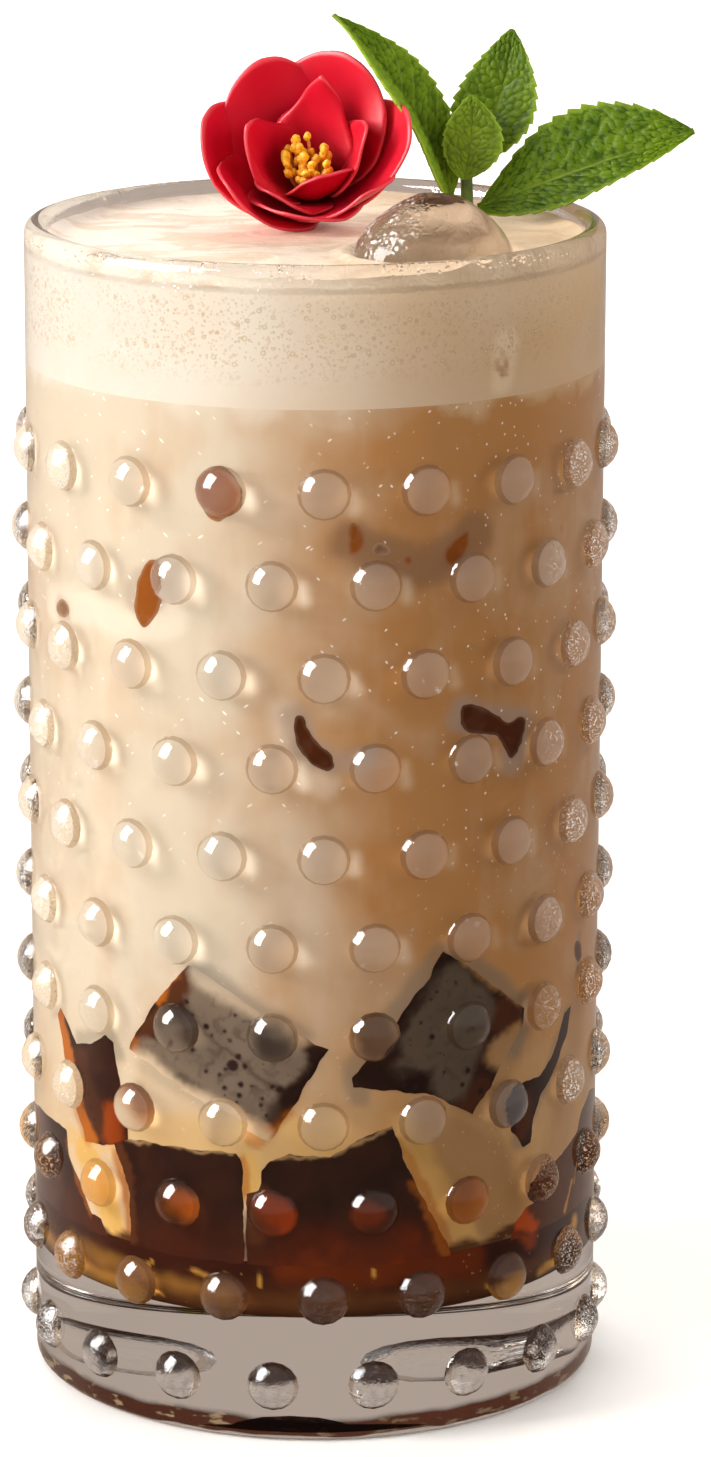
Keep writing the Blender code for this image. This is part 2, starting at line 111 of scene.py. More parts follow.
class ChaiGlassSettings(bpy.types.PropertyGroup):
    lip: FloatProperty(
        name="Lip", description="Radius of the rounded lip", default=1.45 * MM, unit="LENGTH"
    )
    foot: FloatProperty(
        name="Foot", description="Radius of the rounded foot", default=1.2 * MM, unit="LENGTH"
    )
    punt: FloatProperty(
        name="Punt", description="Depth of the hollow under the glass", default=0.08 * MM, unit="LENGTH"
    )
    tint: colour_property("Tint", "Colour of the clear glass", (0.97, 0.965, 0.955))
    # the dark ring low in the thick foot is a painted reflection of the syrup above it
    painted_foot_reflection: colour_property("Foot ring", "Dark ring low in the thick foot", (0.035, 0.0055, 0.002))


class ChaiDrinkSettings(bpy.types.PropertyGroup):
    # the latte goes from the pale colour on the left to the deep colour on the right, as painted shade of the
    # light from the left
    pale: colour_property("Pale latte", "Latte where the cream is thick", (0.72, 0.625, 0.485))
    deep: colour_property("Deep latte", "Latte where the tea is stronger", (0.54, 0.275, 0.10))
    jelly: colour_property("Jelly", "Dark jelly", (0.028, 0.011, 0.007))
    foam: colour_property("Foam", "Milk foam", (0.82, 0.77, 0.685))


class ChaiGarnishSettings(bpy.types.PropertyGroup):
    petal: colour_property("Petal", "Camellia petal", (0.52, 0.003, 0.018))
    petal_edge: colour_property("Petal edge", "Thin rim of a petal", (0.82, 0.13, 0.15))
    anther: colour_property("Anther", "Pollen on the stamens", (0.95, 0.56, 0.02))
    filament: colour_property("Filament", "Stalks of the stamens", (0.82, 0.27, 0.12))
    leaf: colour_property("Leaf", "Upper face of a mint leaf", (0.052, 0.105, 0.004))
    vein: colour_property("Vein", "Veins and edges of a mint leaf", (0.30, 0.42, 0.06))


class Finish:
    """A node material for one finish, with short calls for the nodes that it is made of."""

    def __init__(self, name):
        self.material = bpy.data.materials.new(name)
        self.material.use_nodes = True
        self.nodes = self.material.node_tree.nodes
        self.links = self.material.node_tree.links
        self.shader = self.nodes["Principled BSDF"]
        self.place = self.nodes.new("ShaderNodeTexCoord").outputs["Object"]

    def set(self, socket, value):
        self.feed(self.shader.inputs[socket], value)

    def feed(self, socket, value):
        if isinstance(value, bpy.types.NodeSocket):
            self.links.new(value, socket)
        elif socket.type == "RGBA":
            socket.default_value = (*value, 1.0)[:4]
        else:
            socket.default_value = value

    def scaled(self, scale, source=None):
        node = self.nodes.new("ShaderNodeMapping")
        self.links.new(source or self.place, node.inputs["Vector"])
        node.inputs["Scale"].default_value = scale
        return node.outputs[0]

    def turned(self, turn):
        node = self.nodes.new("ShaderNodeMapping")
        self.links.new(self.place, node.inputs["Vector"])
        node.inputs["Rotation"].default_value = turn
        return node.outputs[0]

    def noise(self, size, detail=3.0, rough=0.5, warp=0.0, source=None):
        """Noise whose features are about this many metres across, from 0 to 1."""
        node = self.nodes.new("ShaderNodeTexNoise")
        self.links.new(source or self.place, node.inputs["Vector"])
        node.inputs["Scale"].default_value = 1.0 / size
        node.inputs["Detail"].default_value = detail
        node.inputs["Roughness"].default_value = rough
        node.inputs["Distortion"].default_value = warp
        return node.outputs["Fac"]

    def patches(self, size, low=0.3, high=0.7, start=0.0, end=1.0, **options):
        """Uneven patches: noise that goes smoothly from start to end between low and high."""
        return self.ramp(self.noise(size, **options), low, high, start, end)

    def sway(self, size, amount, **options):
        """Noise that moves a value up or down by this amount at most."""
        return self.patches(size, start=-amount, end=amount, **options)

    def cells(self, size, source=None):
        """Distance from the middle of the nearest of many cells, in cells of about this size."""
        node = self.nodes.new("ShaderNodeTexVoronoi")
        self.links.new(source or self.place, node.inputs["Vector"])
        node.inputs["Scale"].default_value = 1.0 / size
        return node.outputs["Distance"]

    def ramp(self, value, low, high, start=0.0, end=1.0):
        """Goes smoothly from start to end while the value goes from low to high."""
        node = self.nodes.new("ShaderNodeMapRange")
        node.interpolation_type = "SMOOTHSTEP"
        self.feed(node.inputs["Value"], value)
        node.inputs["From Min"].default_value = low
        node.inputs["From Max"].default_value = high
        node.inputs["To Min"].default_value = start
        node.inputs["To Max"].default_value = end
        return node.outputs["Result"]

    def band(self, value, start, full, fade, end):
        """1 while the value is between full and fade, and 0 before start and after end."""
        return self.times(self.ramp(value, start, full), self.ramp(value, end, fade))

    def calculate(self, operation, first, second=0.0, clamp=False):
        node = self.nodes.new("ShaderNodeMath")
        node.operation = operation
        node.use_clamp = clamp
        self.feed(node.inputs[0], first)
        self.feed(node.inputs[1], second)
        return node.outputs[0]

    def times(self, first, *others):
        for other in others:
            first = self.calculate("MULTIPLY", first, other)
        return first

    def plus(self, first, second, clamp=False):
        return self.calculate("ADD", first, second, clamp)

    def larger(self, first, second):
        return self.calculate("MAXIMUM", first, second)

    def mix(self, share, first, second):
        """The first colour, with the second mixed in by a share from 0 to 1."""
        node = self.nodes.new("ShaderNodeMix")
        node.data_type = "RGBA"
        self.feed(node.inputs["Factor"], share)
        self.feed(node.inputs[6], first)
        self.feed(node.inputs[7], second)
        return node.outputs[2]

    def attribute(self, name):
        """What store() or stain() kept on the mesh under this name."""
        node = self.nodes.new("ShaderNodeAttribute")
        node.attribute_name = name
        return node.outputs["Fac"]

    def axis(self, letter):
        node = self.nodes.new("ShaderNodeSeparateXYZ")
        self.links.new(self.place, node.inputs[0])
        return node.outputs[letter]

    def warp(self, size, amount):
        """The place of a point, pushed about by noise, so that what is drawn there is uneven."""
        node = self.nodes.new("ShaderNodeTexNoise")
        self.links.new(self.place, node.inputs["Vector"])
        node.inputs["Scale"].default_value = 1.0 / size
        node.inputs["Detail"].default_value = 2.0
        centred = self.nodes.new("ShaderNodeVectorMath")
        centred.operation = "MULTIPLY_ADD"
        self.links.new(node.outputs["Color"], centred.inputs[0])
        centred.inputs[1].default_value = (amount,) * 3
        centred.inputs[2].default_value = (-amount / 2,) * 3
        moved = self.nodes.new("ShaderNodeVectorMath")
        moved.operation = "ADD"
        self.links.new(self.place, moved.inputs[0])
        self.links.new(centred.outputs[0], moved.inputs[1])
        return moved.outputs[0]

    def bump(self, height, depth, strength=1.0):
        """Adds a bump on top of those that the finish already has."""
        node = self.nodes.new("ShaderNodeBump")
        node.inputs["Strength"].default_value = strength
        node.inputs["Distance"].default_value = depth
        self.links.new(height, node.inputs["Height"])
        earlier = self.shader.inputs["Normal"]
        if earlier.is_linked:
            self.links.new(earlier.links[0].from_socket, node.inputs["Normal"])
        self.links.new(node.outputs["Normal"], earlier)


def mm(*sizes):
    """Millimetres as the metres that Blender takes."""
    return [size * MM for size in sizes]


def outwards(azimuth):
    """The way out of the glass at an azimuth in degrees, counted from the front towards +X."""
    angle = math.radians(azimuth)
    return Vector((math.sin(angle), -math.cos(angle), 0.0))


def sideways(azimuth):
    angle = math.radians(azimuth)
    return Vector((math.cos(angle), math.sin(angle), 0.0))


def piece_from(bm, name, finishes, sharp=None, solid=True):
    """Turns a bmesh into a piece at the origin, shaded smooth, with edges kept past an angle."""
    if solid:
        bmesh.ops.recalc_face_normals(bm, faces=bm.faces)
    mesh = bpy.data.meshes.new(name)
    bm.to_mesh(mesh)
    bm.free()
    for finish in finishes:
        mesh.materials.append(finish.material)
    mesh.shade_smooth()
    if sharp:
        mesh.set_sharp_from_angle(angle=math.radians(sharp))
    piece = bpy.data.objects.new(name, mesh)
    bpy.context.scene.collection.objects.link(piece)
    return piece


def dress(piece, slot, *nodes):
    """Makes the piece ride on the drink and stand for the frame's nodes."""
    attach(piece, BODY)
    piece.cycles.is_caustics_receiver = slot not in ("clear_glass", "ice")
    if nodes:
        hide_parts(*nodes)


def settle(piece):
    """Applies a piece's modifiers to its mesh."""
    graph = bpy.context.evaluated_depsgraph_get()
    mesh = bpy.data.meshes.new_from_object(piece.evaluated_get(graph))
    piece.modifiers.clear()
    old = piece.data
    piece.data = mesh
    bpy.data.meshes.remove(old)


def store(mesh, name, values, domain="POINT"):
    """Keeps one number for each vertex or face, for a finish to read."""
    layer = mesh.attributes.new(name, "FLOAT", domain)
    layer.data.foreach_set("value", np.asarray(values, np.float32))


def vertex_places(mesh):
    flat = np.empty(len(mesh.vertices) * 3, np.float32)
    mesh.vertices.foreach_get("co", flat)
    return flat.reshape(-1, 3)


def arc(centre, radius, start, end, steps):
    """Points (r, z) on an arc, angles in degrees from the +r direction."""
    points = []
    for step in range(steps + 1):
        angle = math.radians(start + (end - start) * step / steps)
        points.append((centre[0] + radius * math.cos(angle), centre[1] + radius * math.sin(angle)))
    return points


def turned(profile, steps):
    """A bmesh spun about Z from a profile (r, z)."""
    bm = bmesh.new()
    corners = [bm.verts.new((r, 0.0, z)) for r, z in profile]
    edges = [bm.edges.new(pair) for pair in zip(corners, corners[1:])]
    bmesh.ops.spin(
        bm, geom=corners + edges, cent=(0, 0, 0), axis=(0, 0, 1), angle=2 * math.pi,
        steps=steps, use_merge=True,
    )
    bmesh.ops.remove_doubles(bm, verts=bm.verts, dist=SAME_PLACE)
    bmesh.ops.recalc_face_normals(bm, faces=bm.faces)
    return bm


# ---------------------------------------------------------------- glass


def glass_profile(settings):
    lip, foot = settings.lip, settings.foot
    middle = GLASS_RADIUS - lip
    points = [(0.0, CAVITY_FLOOR)]
    points += arc((CAVITY_RADIUS - CAVITY_ROUND, CAVITY_FLOOR + CAVITY_ROUND), CAVITY_ROUND, -90, 0, 8)
    points += arc((middle, GLASS_HIGH.z - lip), lip, 180, 0, 12)
    points += arc((GLASS_RADIUS - foot, foot), foot, 0, -90, 6)
    for step in range(PUNT_STEPS + 1):
        share = step / PUNT_STEPS
        rise = (1 - math.cos(math.pi * share)) / 2
        points.append((PUNT_EDGE + (PUNT_FLAT - PUNT_EDGE) * share, settings.punt * rise))
    points.append((0.0, settings.punt))
    return points


def bump_sphere():
    """Radius of the hobnail's sphere and how far its centre lies inside the wall's face."""
    half = BUMP_WIDTH / 2
    radius = (half**2 + BUMP_HEIGHT**2) / (2 * BUMP_HEIGHT)
    return radius, radius - BUMP_HEIGHT


def bump_centres():
    depth = bump_sphere()[1]
    for row in range(ROWS):
        shift = 0.0 if row in PLAIN_ROWS else 0.5
        for column in range(BUMP_COLUMNS):
            azimuth = PHASE + 360.0 * (column + shift) / BUMP_COLUMNS
            lift = Vector((0, 0, TOP_ROW - row * ROW_PITCH))
            yield azimuth, outwards(azimuth) * (GLASS_RADIUS - depth) + lift


def bump_domes():
    """Every hobnail as a closed dome of a few dozen faces whose flat back lies inside the wall."""
    radius, depth = bump_sphere()
    back = depth - DOME_SUNK
    angles = [math.radians(polar) for polar in DOME_RINGS]
    profile = [(radius * math.sin(angle), radius * math.cos(angle)) for angle in angles]
    profile += [(profile[-1][0], back), (0.0, back)]
    dome = turned(profile, DOME_SIDES)
    template = bpy.data.meshes.new("dome")
    dome.to_mesh(template)
    dome.free()
    bm = bmesh.new()
    for azimuth, centre in bump_centres():
        start = len(bm.verts)
        bm.from_mesh(template)
        bm.verts.ensure_lookup_table()
        turn = Matrix((sideways(azimuth), Vector((0, 0, 1)), outwards(azimuth))).transposed().to_4x4()
        bmesh.ops.transform(bm, matrix=Matrix.Translation(centre) @ turn, verts=bm.verts[start:])
    bpy.data.meshes.remove(template)
    return bm


def true_normals(mesh):
    """Gives the wall and the hobnails the normals of a true cylinder and of true spheres."""
    places = vertex_places(mesh).astype(float)
    loops = np.empty(len(mesh.loops), np.int32)
    mesh.loops.foreach_get("vertex_index", loops)
    faces = np.empty(len(mesh.polygons) * 3, np.float32)
    mesh.polygons.foreach_get("center", faces)
    faces = faces.reshape(-1, 3).astype(float)
    counts = np.empty(len(mesh.polygons), np.int32)
    mesh.polygons.foreach_get("loop_total", counts)
    owner = np.repeat(np.arange(len(counts)), counts)
    tree = kdtree.KDTree(ROWS * BUMP_COLUMNS)
    for number, (_, centre) in enumerate(bump_centres()):
        tree.insert(centre, number)
    tree.balance()
    sphere = bump_sphere()[0]
    nearest = np.array([tree.find(face) for face in faces], dtype=object)
    centres = np.array([tuple(found[0]) for found in nearest])
    distance = np.array([found[2] for found in nearest], float)
    reach = np.hypot(faces[:, 0], faces[:, 1])
    on_sphere = (distance < sphere * 1.02) & (distance > sphere * 0.95)
    is_dome = on_sphere & (reach > GLASS_RADIUS + 0.004 * MM)
    upright = (faces[:, 2] > 1.3 * MM) & (faces[:, 2] < GLASS_HIGH.z - 1.5 * MM)
    is_wall = ~is_dome & upright & (np.abs(reach - GLASS_RADIUS) < 0.03 * MM)
    corner = places[loops]
    normals = np.zeros_like(corner)
    dome_corner = is_dome[owner]
    normals[dome_corner] = (corner - centres[owner])[dome_corner]
    wall_corner = is_wall[owner]
    normals[wall_corner, :2] = corner[wall_corner, :2]
    length = np.linalg.norm(normals, axis=1, keepdims=True)
    normals = np.divide(normals, length, out=np.zeros_like(normals), where=length > 0)
    mesh.normals_split_custom_set(normals.tolist())
    store(mesh, "dome", is_dome, "FACE")
    # the ring of faces round the foot of each hobnail, which gets a painted dark outline as shade at its edge
    axes = centres * (1.0, 1.0, 0.0)
    axes /= np.linalg.norm(axes, axis=1, keepdims=True)
    away = faces - centres
    outward = (away * axes).sum(axis=1)
    aside = np.sqrt(np.maximum((away**2).sum(axis=1) - outward**2, 0.0))
    store(mesh, "hem", is_dome & (aside > 0.42 * BUMP_WIDTH), "FACE")


AMBER_PAINTED_GLOW = (1.0, 0.68, 0.42)
HEM_PAINTED_SHADE = (0.55, 0.44, 0.34)
FOOT_PAINTED_GLINT = (0.75, 0.50, 0.22)


def painted_foot_reflection(finish, settings, height):
    """The painted dark ring that stands for the syrup's reflection in the thick foot, with a few painted
    golden glints.
    """
    uneven = finish.plus(height, finish.sway(9 * MM, 0.25 * MM, detail=2.0))
    ring = finish.band(uneven, *mm(0.55, 0.75, 2.6, 3.6))
    ring = finish.times(ring, finish.ramp(finish.axis("Y"), 12 * MM, -6 * MM))
    glints = finish.patches(3 * MM, 0.56, 0.66, source=finish.scaled((1.0, 1.0, 3.0)))
    gold = finish.times(glints, finish.ramp(finish.axis("X"), 5 * MM, -20 * MM, 0.2, 1.0))
    return ring, finish.mix(gold, settings.painted_foot_reflection, FOOT_PAINTED_GLINT)


def milky_share(finish, from_side, height):
    """How milky the hobnails look: a thin film over the latte, and glitter at the sides and low down."""
    sparks = finish.patches(0.28 * MM, 0.51, 0.62, rough=0.7)
    where = finish.larger(from_side, finish.ramp(height, 25 * MM, 17 * MM, 0.0, 0.15))
    film = finish.ramp(height, 58 * MM, 66 * MM, 0.004, 0.05)
    film = finish.plus(film, finish.times(finish.band(height, *mm(35, 38, 44, 47)), 0.035))
    return finish.plus(film, finish.times(where, sparks, 0.42))


def glass_finish(settings):
    finish = Finish("clear pressed glass")
    dome = finish.attribute("dome")
    height = finish.axis("Z")
    # how far round the side a place lies: the hobnails there glitter
    from_side = finish.ramp(finish.calculate("ABSOLUTE", finish.axis("X")), 24 * MM, 34 * MM)
    milky = finish.times(dome, milky_share(finish, from_side, height))
    # the hobnails over the jelly and the syrup take on their amber as a painted glow, standing for the jelly
    # seen through them
    amber = finish.times(dome, finish.band(height, *mm(16, 26, 34, 38)))
    colour = finish.mix(amber, settings.tint, AMBER_PAINTED_GLOW)
    # painted reflection of the syrup in the foot, with painted glints
    ring, painted_reflection_colour = painted_foot_reflection(finish, settings, height)
    colour = finish.mix(ring, colour, painted_reflection_colour)
    # a painted dark outline round the foot of each hobnail, standing for the shade at its edge
    finish.set("Base Color", finish.mix(finish.attribute("hem"), colour, HEM_PAINTED_SHADE))
    finish.set("Roughness", 0.0)
    finish.set("IOR", 1.5)
    finish.set("Transmission Weight", finish.calculate("SUBTRACT", 1.0, milky))
    # grain on the hobnails
    rough_places = finish.larger(from_side, finish.ramp(height, 25 * MM, 17 * MM, 0.0, 0.6))
    strength = finish.ramp(rough_places, 0.0, 1.0, 0.25, 1.0)
    strength = finish.times(finish.patches(5 * MM, 0.30, 0.55, 0.25, 1.0, detail=1.0), strength)
    grain = finish.times(finish.noise(0.24 * MM, detail=1.0), finish.times(dome, strength))
    # fine drops above the foam
    drops = finish.ramp(finish.cells(0.75 * MM), 0.42, 0.10)
    damp = finish.patches(9 * MM, 0.42, 0.60, detail=2.0)
    damp = finish.times(damp, finish.band(height, *mm(142.5, 144, 146.2, 147)))
    finish.bump(finish.plus(grain, finish.times(drops, damp)), 0.07 * MM)
    return finish


class CHAI_OT_glass(bpy.types.Operator):
    """Blow the tall glass and press its rows of hobnails"""

    bl_idname = "chai.glass"
    bl_label = "Hobnail Glass"

    def execute(self, context):
        settings = context.scene.chai_glass
        finish = glass_finish(settings)
        glass = piece_from(turned(glass_profile(settings), GLASS_STEPS), "hobnail_glass", [finish])
        domes = piece_from(bump_domes(), "dome_tool", [finish])
        join = glass.modifiers.new("hobnails", "BOOLEAN")
        join.operation = "UNION"
        join.solver = "MANIFOLD"
        join.object = domes
        settle(glass)
        bpy.data.objects.remove(domes, do_unlink=True)
        if len(glass.data.polygons) < ROWS * BUMP_COLUMNS * LEAST_DOME_FACES:
            raise RuntimeError("the hobnails did not join the glass")
        glass.data.shade_smooth()
        glass.data.set_sharp_from_angle(angle=math.radians(35))
        true_normals(glass.data)
        dress(glass, "clear_glass", "glass")
        glass.cycles.is_caustics_caster = True
        return {"FINISHED"}


# ---------------------------------------------------------------- drink

# Millimetres of the drink's wall to one degree of azimuth.
ARC = math.radians(1.0) * DRINK_RADIUS / MM
FULL_TURN = 360.0 * ARC

# Stains on the wall of the latte, as strokes: what it is, half width at the start and at the end and
# softness in millimetres, strength from 0 to 1, and the stroke's points as (azimuth, height).
LATTE_STAINS = (
    # round the sunken ice
    ("lilac", 2.6, 2.6, 1.6, 0.55, ((-38.0, 105.5), (-33.0, 107.5))),
    ("cream", 2.4, 2.0, 2.2, 0.75, ((-66.0, 101.3), (-52.0, 102.6), (-40.0, 100.8))),
    ("cream", 1.6, 1.4, 1.6, 0.6, ((-40.0, 100.8), (-29.5, 102.5), (-28.0, 107.0))),
    ("lilac", 1.6, 1.6, 1.5, 0.5, ((-63.0, 101.4), (-62.0, 101.2))),
    ("lilac", 1.7, 1.7, 1.8, 0.45, ((-20.3, 119.5), (-19.0, 118.0))),
    ("rose", 2.4, 2.8, 2.0, 0.85, ((7.5, 113.4), (13.0, 111.6), (21.0, 110.2), (29.0, 110.6), (33.5, 113.2))),
    ("tea", 2.8, 3.4, 3.0, 0.4, ((6.0, 112.6), (18.0, 109.4), (31.0, 110.4))),
    ("lilac", 1.9, 1.5, 1.8, 0.7, ((-4.0, 91.8), (-2.4, 88.4), (3.4, 86.2), (10.4, 86.8))),
    ("cream", 1.8, 1.6, 2.0, 0.4, ((-6.5, 92.6), (-4.8, 87.0), (2.0, 83.6))),
    ("lilac", 2.2, 1.8, 1.8, 0.8, ((31.5, 91.0), (39.0, 89.6), (46.0, 88.6), (44.4, 84.6))),
    ("tea", 2.6, 2.4, 2.6, 0.35, ((33.0, 86.0), (46.0, 83.0))),
    ("amber", 0.35, 0.35, 0.35, 0.5, ((59.1, 111.7),)),
    ("amber", 0.35, 0.35, 0.35, 0.45, ((73.7, 102.2),)),
    # the shade of the jelly that lies behind a thin film of latte
    ("grey", 1.6, 1.2, 1.6, 0.55, ((-24.0, 59.0), (-12.0, 55.0), (-3.0, 51.8))),
    ("grey", 1.4, 0.8, 1.6, 0.3, ((-37.0, 46.0), (-27.0, 43.8), (-17.0, 40.2))),
    ("grey", 1.2, 1.0, 1.2, 0.5, ((-57.0, 46.8), (-48.0, 49.2), (-44.5, 46.5))),
    ("grey", 1.7, 1.7, 1.6, 0.6, ((30.5, 60.6), (41.0, 55.6), (49.0, 51.6), (46.0, 48.0))),
    ("grey", 1.5, 1.6, 1.4, 0.5, ((26.5, 61.4), (17.0, 54.4), (8.4, 47.4), (9.0, 44.6))),
    ("tea", 2.4, 2.0, 2.2, 0.55, ((45.0, 47.5), (38.0, 42.5), (30.0, 40.0))),
    ("grey", 1.0, 1.4, 1.2, 0.5, ((65.0, 49.0), (58.0, 43.4), (50.5, 38.5), (47.5, 35.0))),
    ("grey", 0.8, 0.8, 0.9, 0.5, ((70.0, 58.0), (70.0, 54.6))),
    ("tea", 2.0, 3.0, 3.0, 0.35, ((72.0, 52.0), (66.0, 40.0), (60.0, 31.0))),
    # golden latte caught between the cubes
    ("gold", 2.4, 1.7, 1.5, 0.9, ((-56.0, 32.4), (-50.0, 29.0), (-46.0, 23.0))),
    ("amber", 0.8, 0.7, 0.8, 0.8, ((-46.0, 33.6), (-42.6, 29.4), (-41.8, 22.8))),
    ("gold", 1.2, 1.6, 1.6, 0.5, ((-62.0, 33.6), (-54.0, 33.6), (-44.0, 36.4))),
    ("gold", 1.0, 1.6, 1.3, 0.8, ((-13.2, 36.0), (-13.2, 31.8))),
    ("amber", 0.7, 0.7, 0.6, 0.7, ((-15.0, 35.6), (-14.8, 31.6))),
    ("gold", 3.0, 4.0, 3.0, 0.45, ((-36.0, 37.4), (-20.0, 37.6), (0.0, 38.0))),
    ("gold", 2.0, 1.6, 1.6, 0.45, ((20.0, 38.6), (26.0, 31.0), (33.0, 24.0))),
    ("tea", 4.0, 4.0, 3.0, 0.7, ((26.0, 38.0), (38.0, 33.0), (42.0, 26.0))),
    ("amber", 0.6, 0.8, 0.7, 0.6, ((17.6, 38.0), (24.2, 29.6), (29.6, 23.0))),
    ("amber", 1.2, 1.0, 1.0, 0.6, ((-12.5, 38.6), (-6.4, 42.2))),
    ("amber", 1.1, 1.1, 1.2, 0.5, ((-58.0, 36.8), (-54.6, 34.2))),
    # the syrup that laps over the streaks' lower ends
    ("sink", 0.7, 0.9, 0.7, 0.95, (
        (-60.0, 22.0), (-51.0, 22.9), (-47.0, 21.8), (-43.6, 22.6), (-38.0, 23.2),
    )),
    ("sink", 0.7, 1.2, 1.6, 0.95, ((-13.6, 28.6), (-13.2, 22.8))),
    # what the hobnails over the edges of the cubes gather from the jelly beside them
    ("sink", 1.5, 1.5, 1.0, 0.7, ((12.0, 52.0), (12.6, 51.6))),
    ("amber", 1.7, 1.7, 1.0, 0.8, ((-39.6, 41.2), (-38.6, 40.8))),
    ("sink", 1.5, 1.5, 1.2, 0.65, ((-39.8, 41.6), (-39.2, 41.2))),
    ("sink", 2.0, 2.0, 0.9, 0.62, ((42.2, 40.8), (42.4, 40.2))),
    ("amber", 1.8, 1.8, 0.9, 0.7, ((31.8, 29.6), (32.2, 29.2))),
    ("sink", 1.6, 1.6, 1.0, 0.4, ((31.6, 30.2), (31.8, 29.8))),
    ("sink", 0.8, 1.2, 0.9, 0.95, (
        (20.0, 23.4), (27.0, 22.3), (33.0, 23.0), (38.0, 22.0), (44.0, 23.4), (58.0, 22.6),
    )),
)

# Lumps of ice under the surface, where they touch the glass: outline as (azimuth, height).
SUNKEN_ICE = (
    ("warm", (
        (-23.8, 119.4), (-22.0, 121.2), (-18.8, 121.2), (-16.8, 119.2), (-17.4, 116.6), (-20.4, 115.4),
        (-23.2, 116.8),
    )),
    ("warm", (
        (-38.3, 107.4), (-39.0, 105.6), (-39.4, 102.9), (-37.0, 101.2), (-34.9, 102.6), (-32.9, 104.6),
        (-31.2, 107.6), (-32.6, 110.4), (-36.0, 110.0),
    )),
    ("dim", ((-65.6, 101.5), (-62.8, 102.5), (-60.2, 102.0), (-59.8, 100.9), (-62.2, 100.2), (-64.9, 100.5))),
    ("warm", (
        (6.6, 112.0), (6.2, 113.9), (7.1, 116.0), (8.3, 115.7), (9.8, 114.5), (10.1, 113.0), (8.6, 112.0),
    )),
    ("dim", ((11.1, 112.4), (12.7, 113.3), (15.3, 112.7), (14.8, 111.8), (12.2, 111.7))),
    ("warm", ((17.5, 111.0), (18.9, 111.8), (20.2, 110.9), (18.9, 110.1))),
    ("warm", (
        (32.8, 114.2), (32.7, 111.6), (30.6, 110.1), (28.1, 109.5), (26.4, 111.1), (28.1, 112.8),
        (30.8, 113.9),
    )),
    ("dark", (
        (-4.1, 92.4), (-4.0, 90.2), (-3.7, 88.3), (-1.5, 86.6), (2.0, 85.4), (4.4, 85.8), (3.6, 87.4),
        (0.6, 89.0), (-1.4, 90.6), (-2.4, 92.3),
    )),
    ("dark", (
        (30.6, 91.9), (33.1, 92.4), (37.2, 91.2), (40.8, 90.2), (42.9, 88.9), (45.3, 89.6), (48.3, 89.3),
        (47.6, 86.8), (45.4, 85.1), (43.4, 84.4), (41.5, 86.5), (39.5, 88.2), (36.9, 88.2), (33.2, 88.7),
        (31.2, 89.8),
    )),
    ("dark", ((68.4, 58.2), (71.6, 56.9), (72.2, 55.2), (69.9, 54.6), (67.6, 56.2))),
    ("warm", (
        (114.0, 111.0), (118.0, 112.6), (123.0, 110.4), (124.0, 106.6), (119.6, 106.0), (115.0, 108.0),
    )),
    ("dark", ((156.0, 94.0), (161.0, 95.4), (164.4, 92.0), (162.0, 88.4), (157.4, 89.4))),
    ("warm", (
        (-154.0, 115.4), (-150.0, 117.4), (-145.0, 114.4), (-142.6, 111.0), (-147.6, 110.8),
        (-152.6, 112.4),
    )),
    ("dark", ((-115.0, 89.0), (-111.4, 88.4), (-109.6, 84.0), (-112.4, 82.6), (-115.6, 85.4))),
)
ICE_REACH = 5.0
ICE_STEP = 0.35
ICE_TONES = {
    "warm": ((0.30, 0.085, 0.012), (0.36, 0.18, 0.09)),
    "dim": ((0.24, 0.12, 0.06), (0.40, 0.25, 0.16)),
    "dark": ((0.085, 0.020, 0.005), (0.15, 0.07, 0.04)),
}

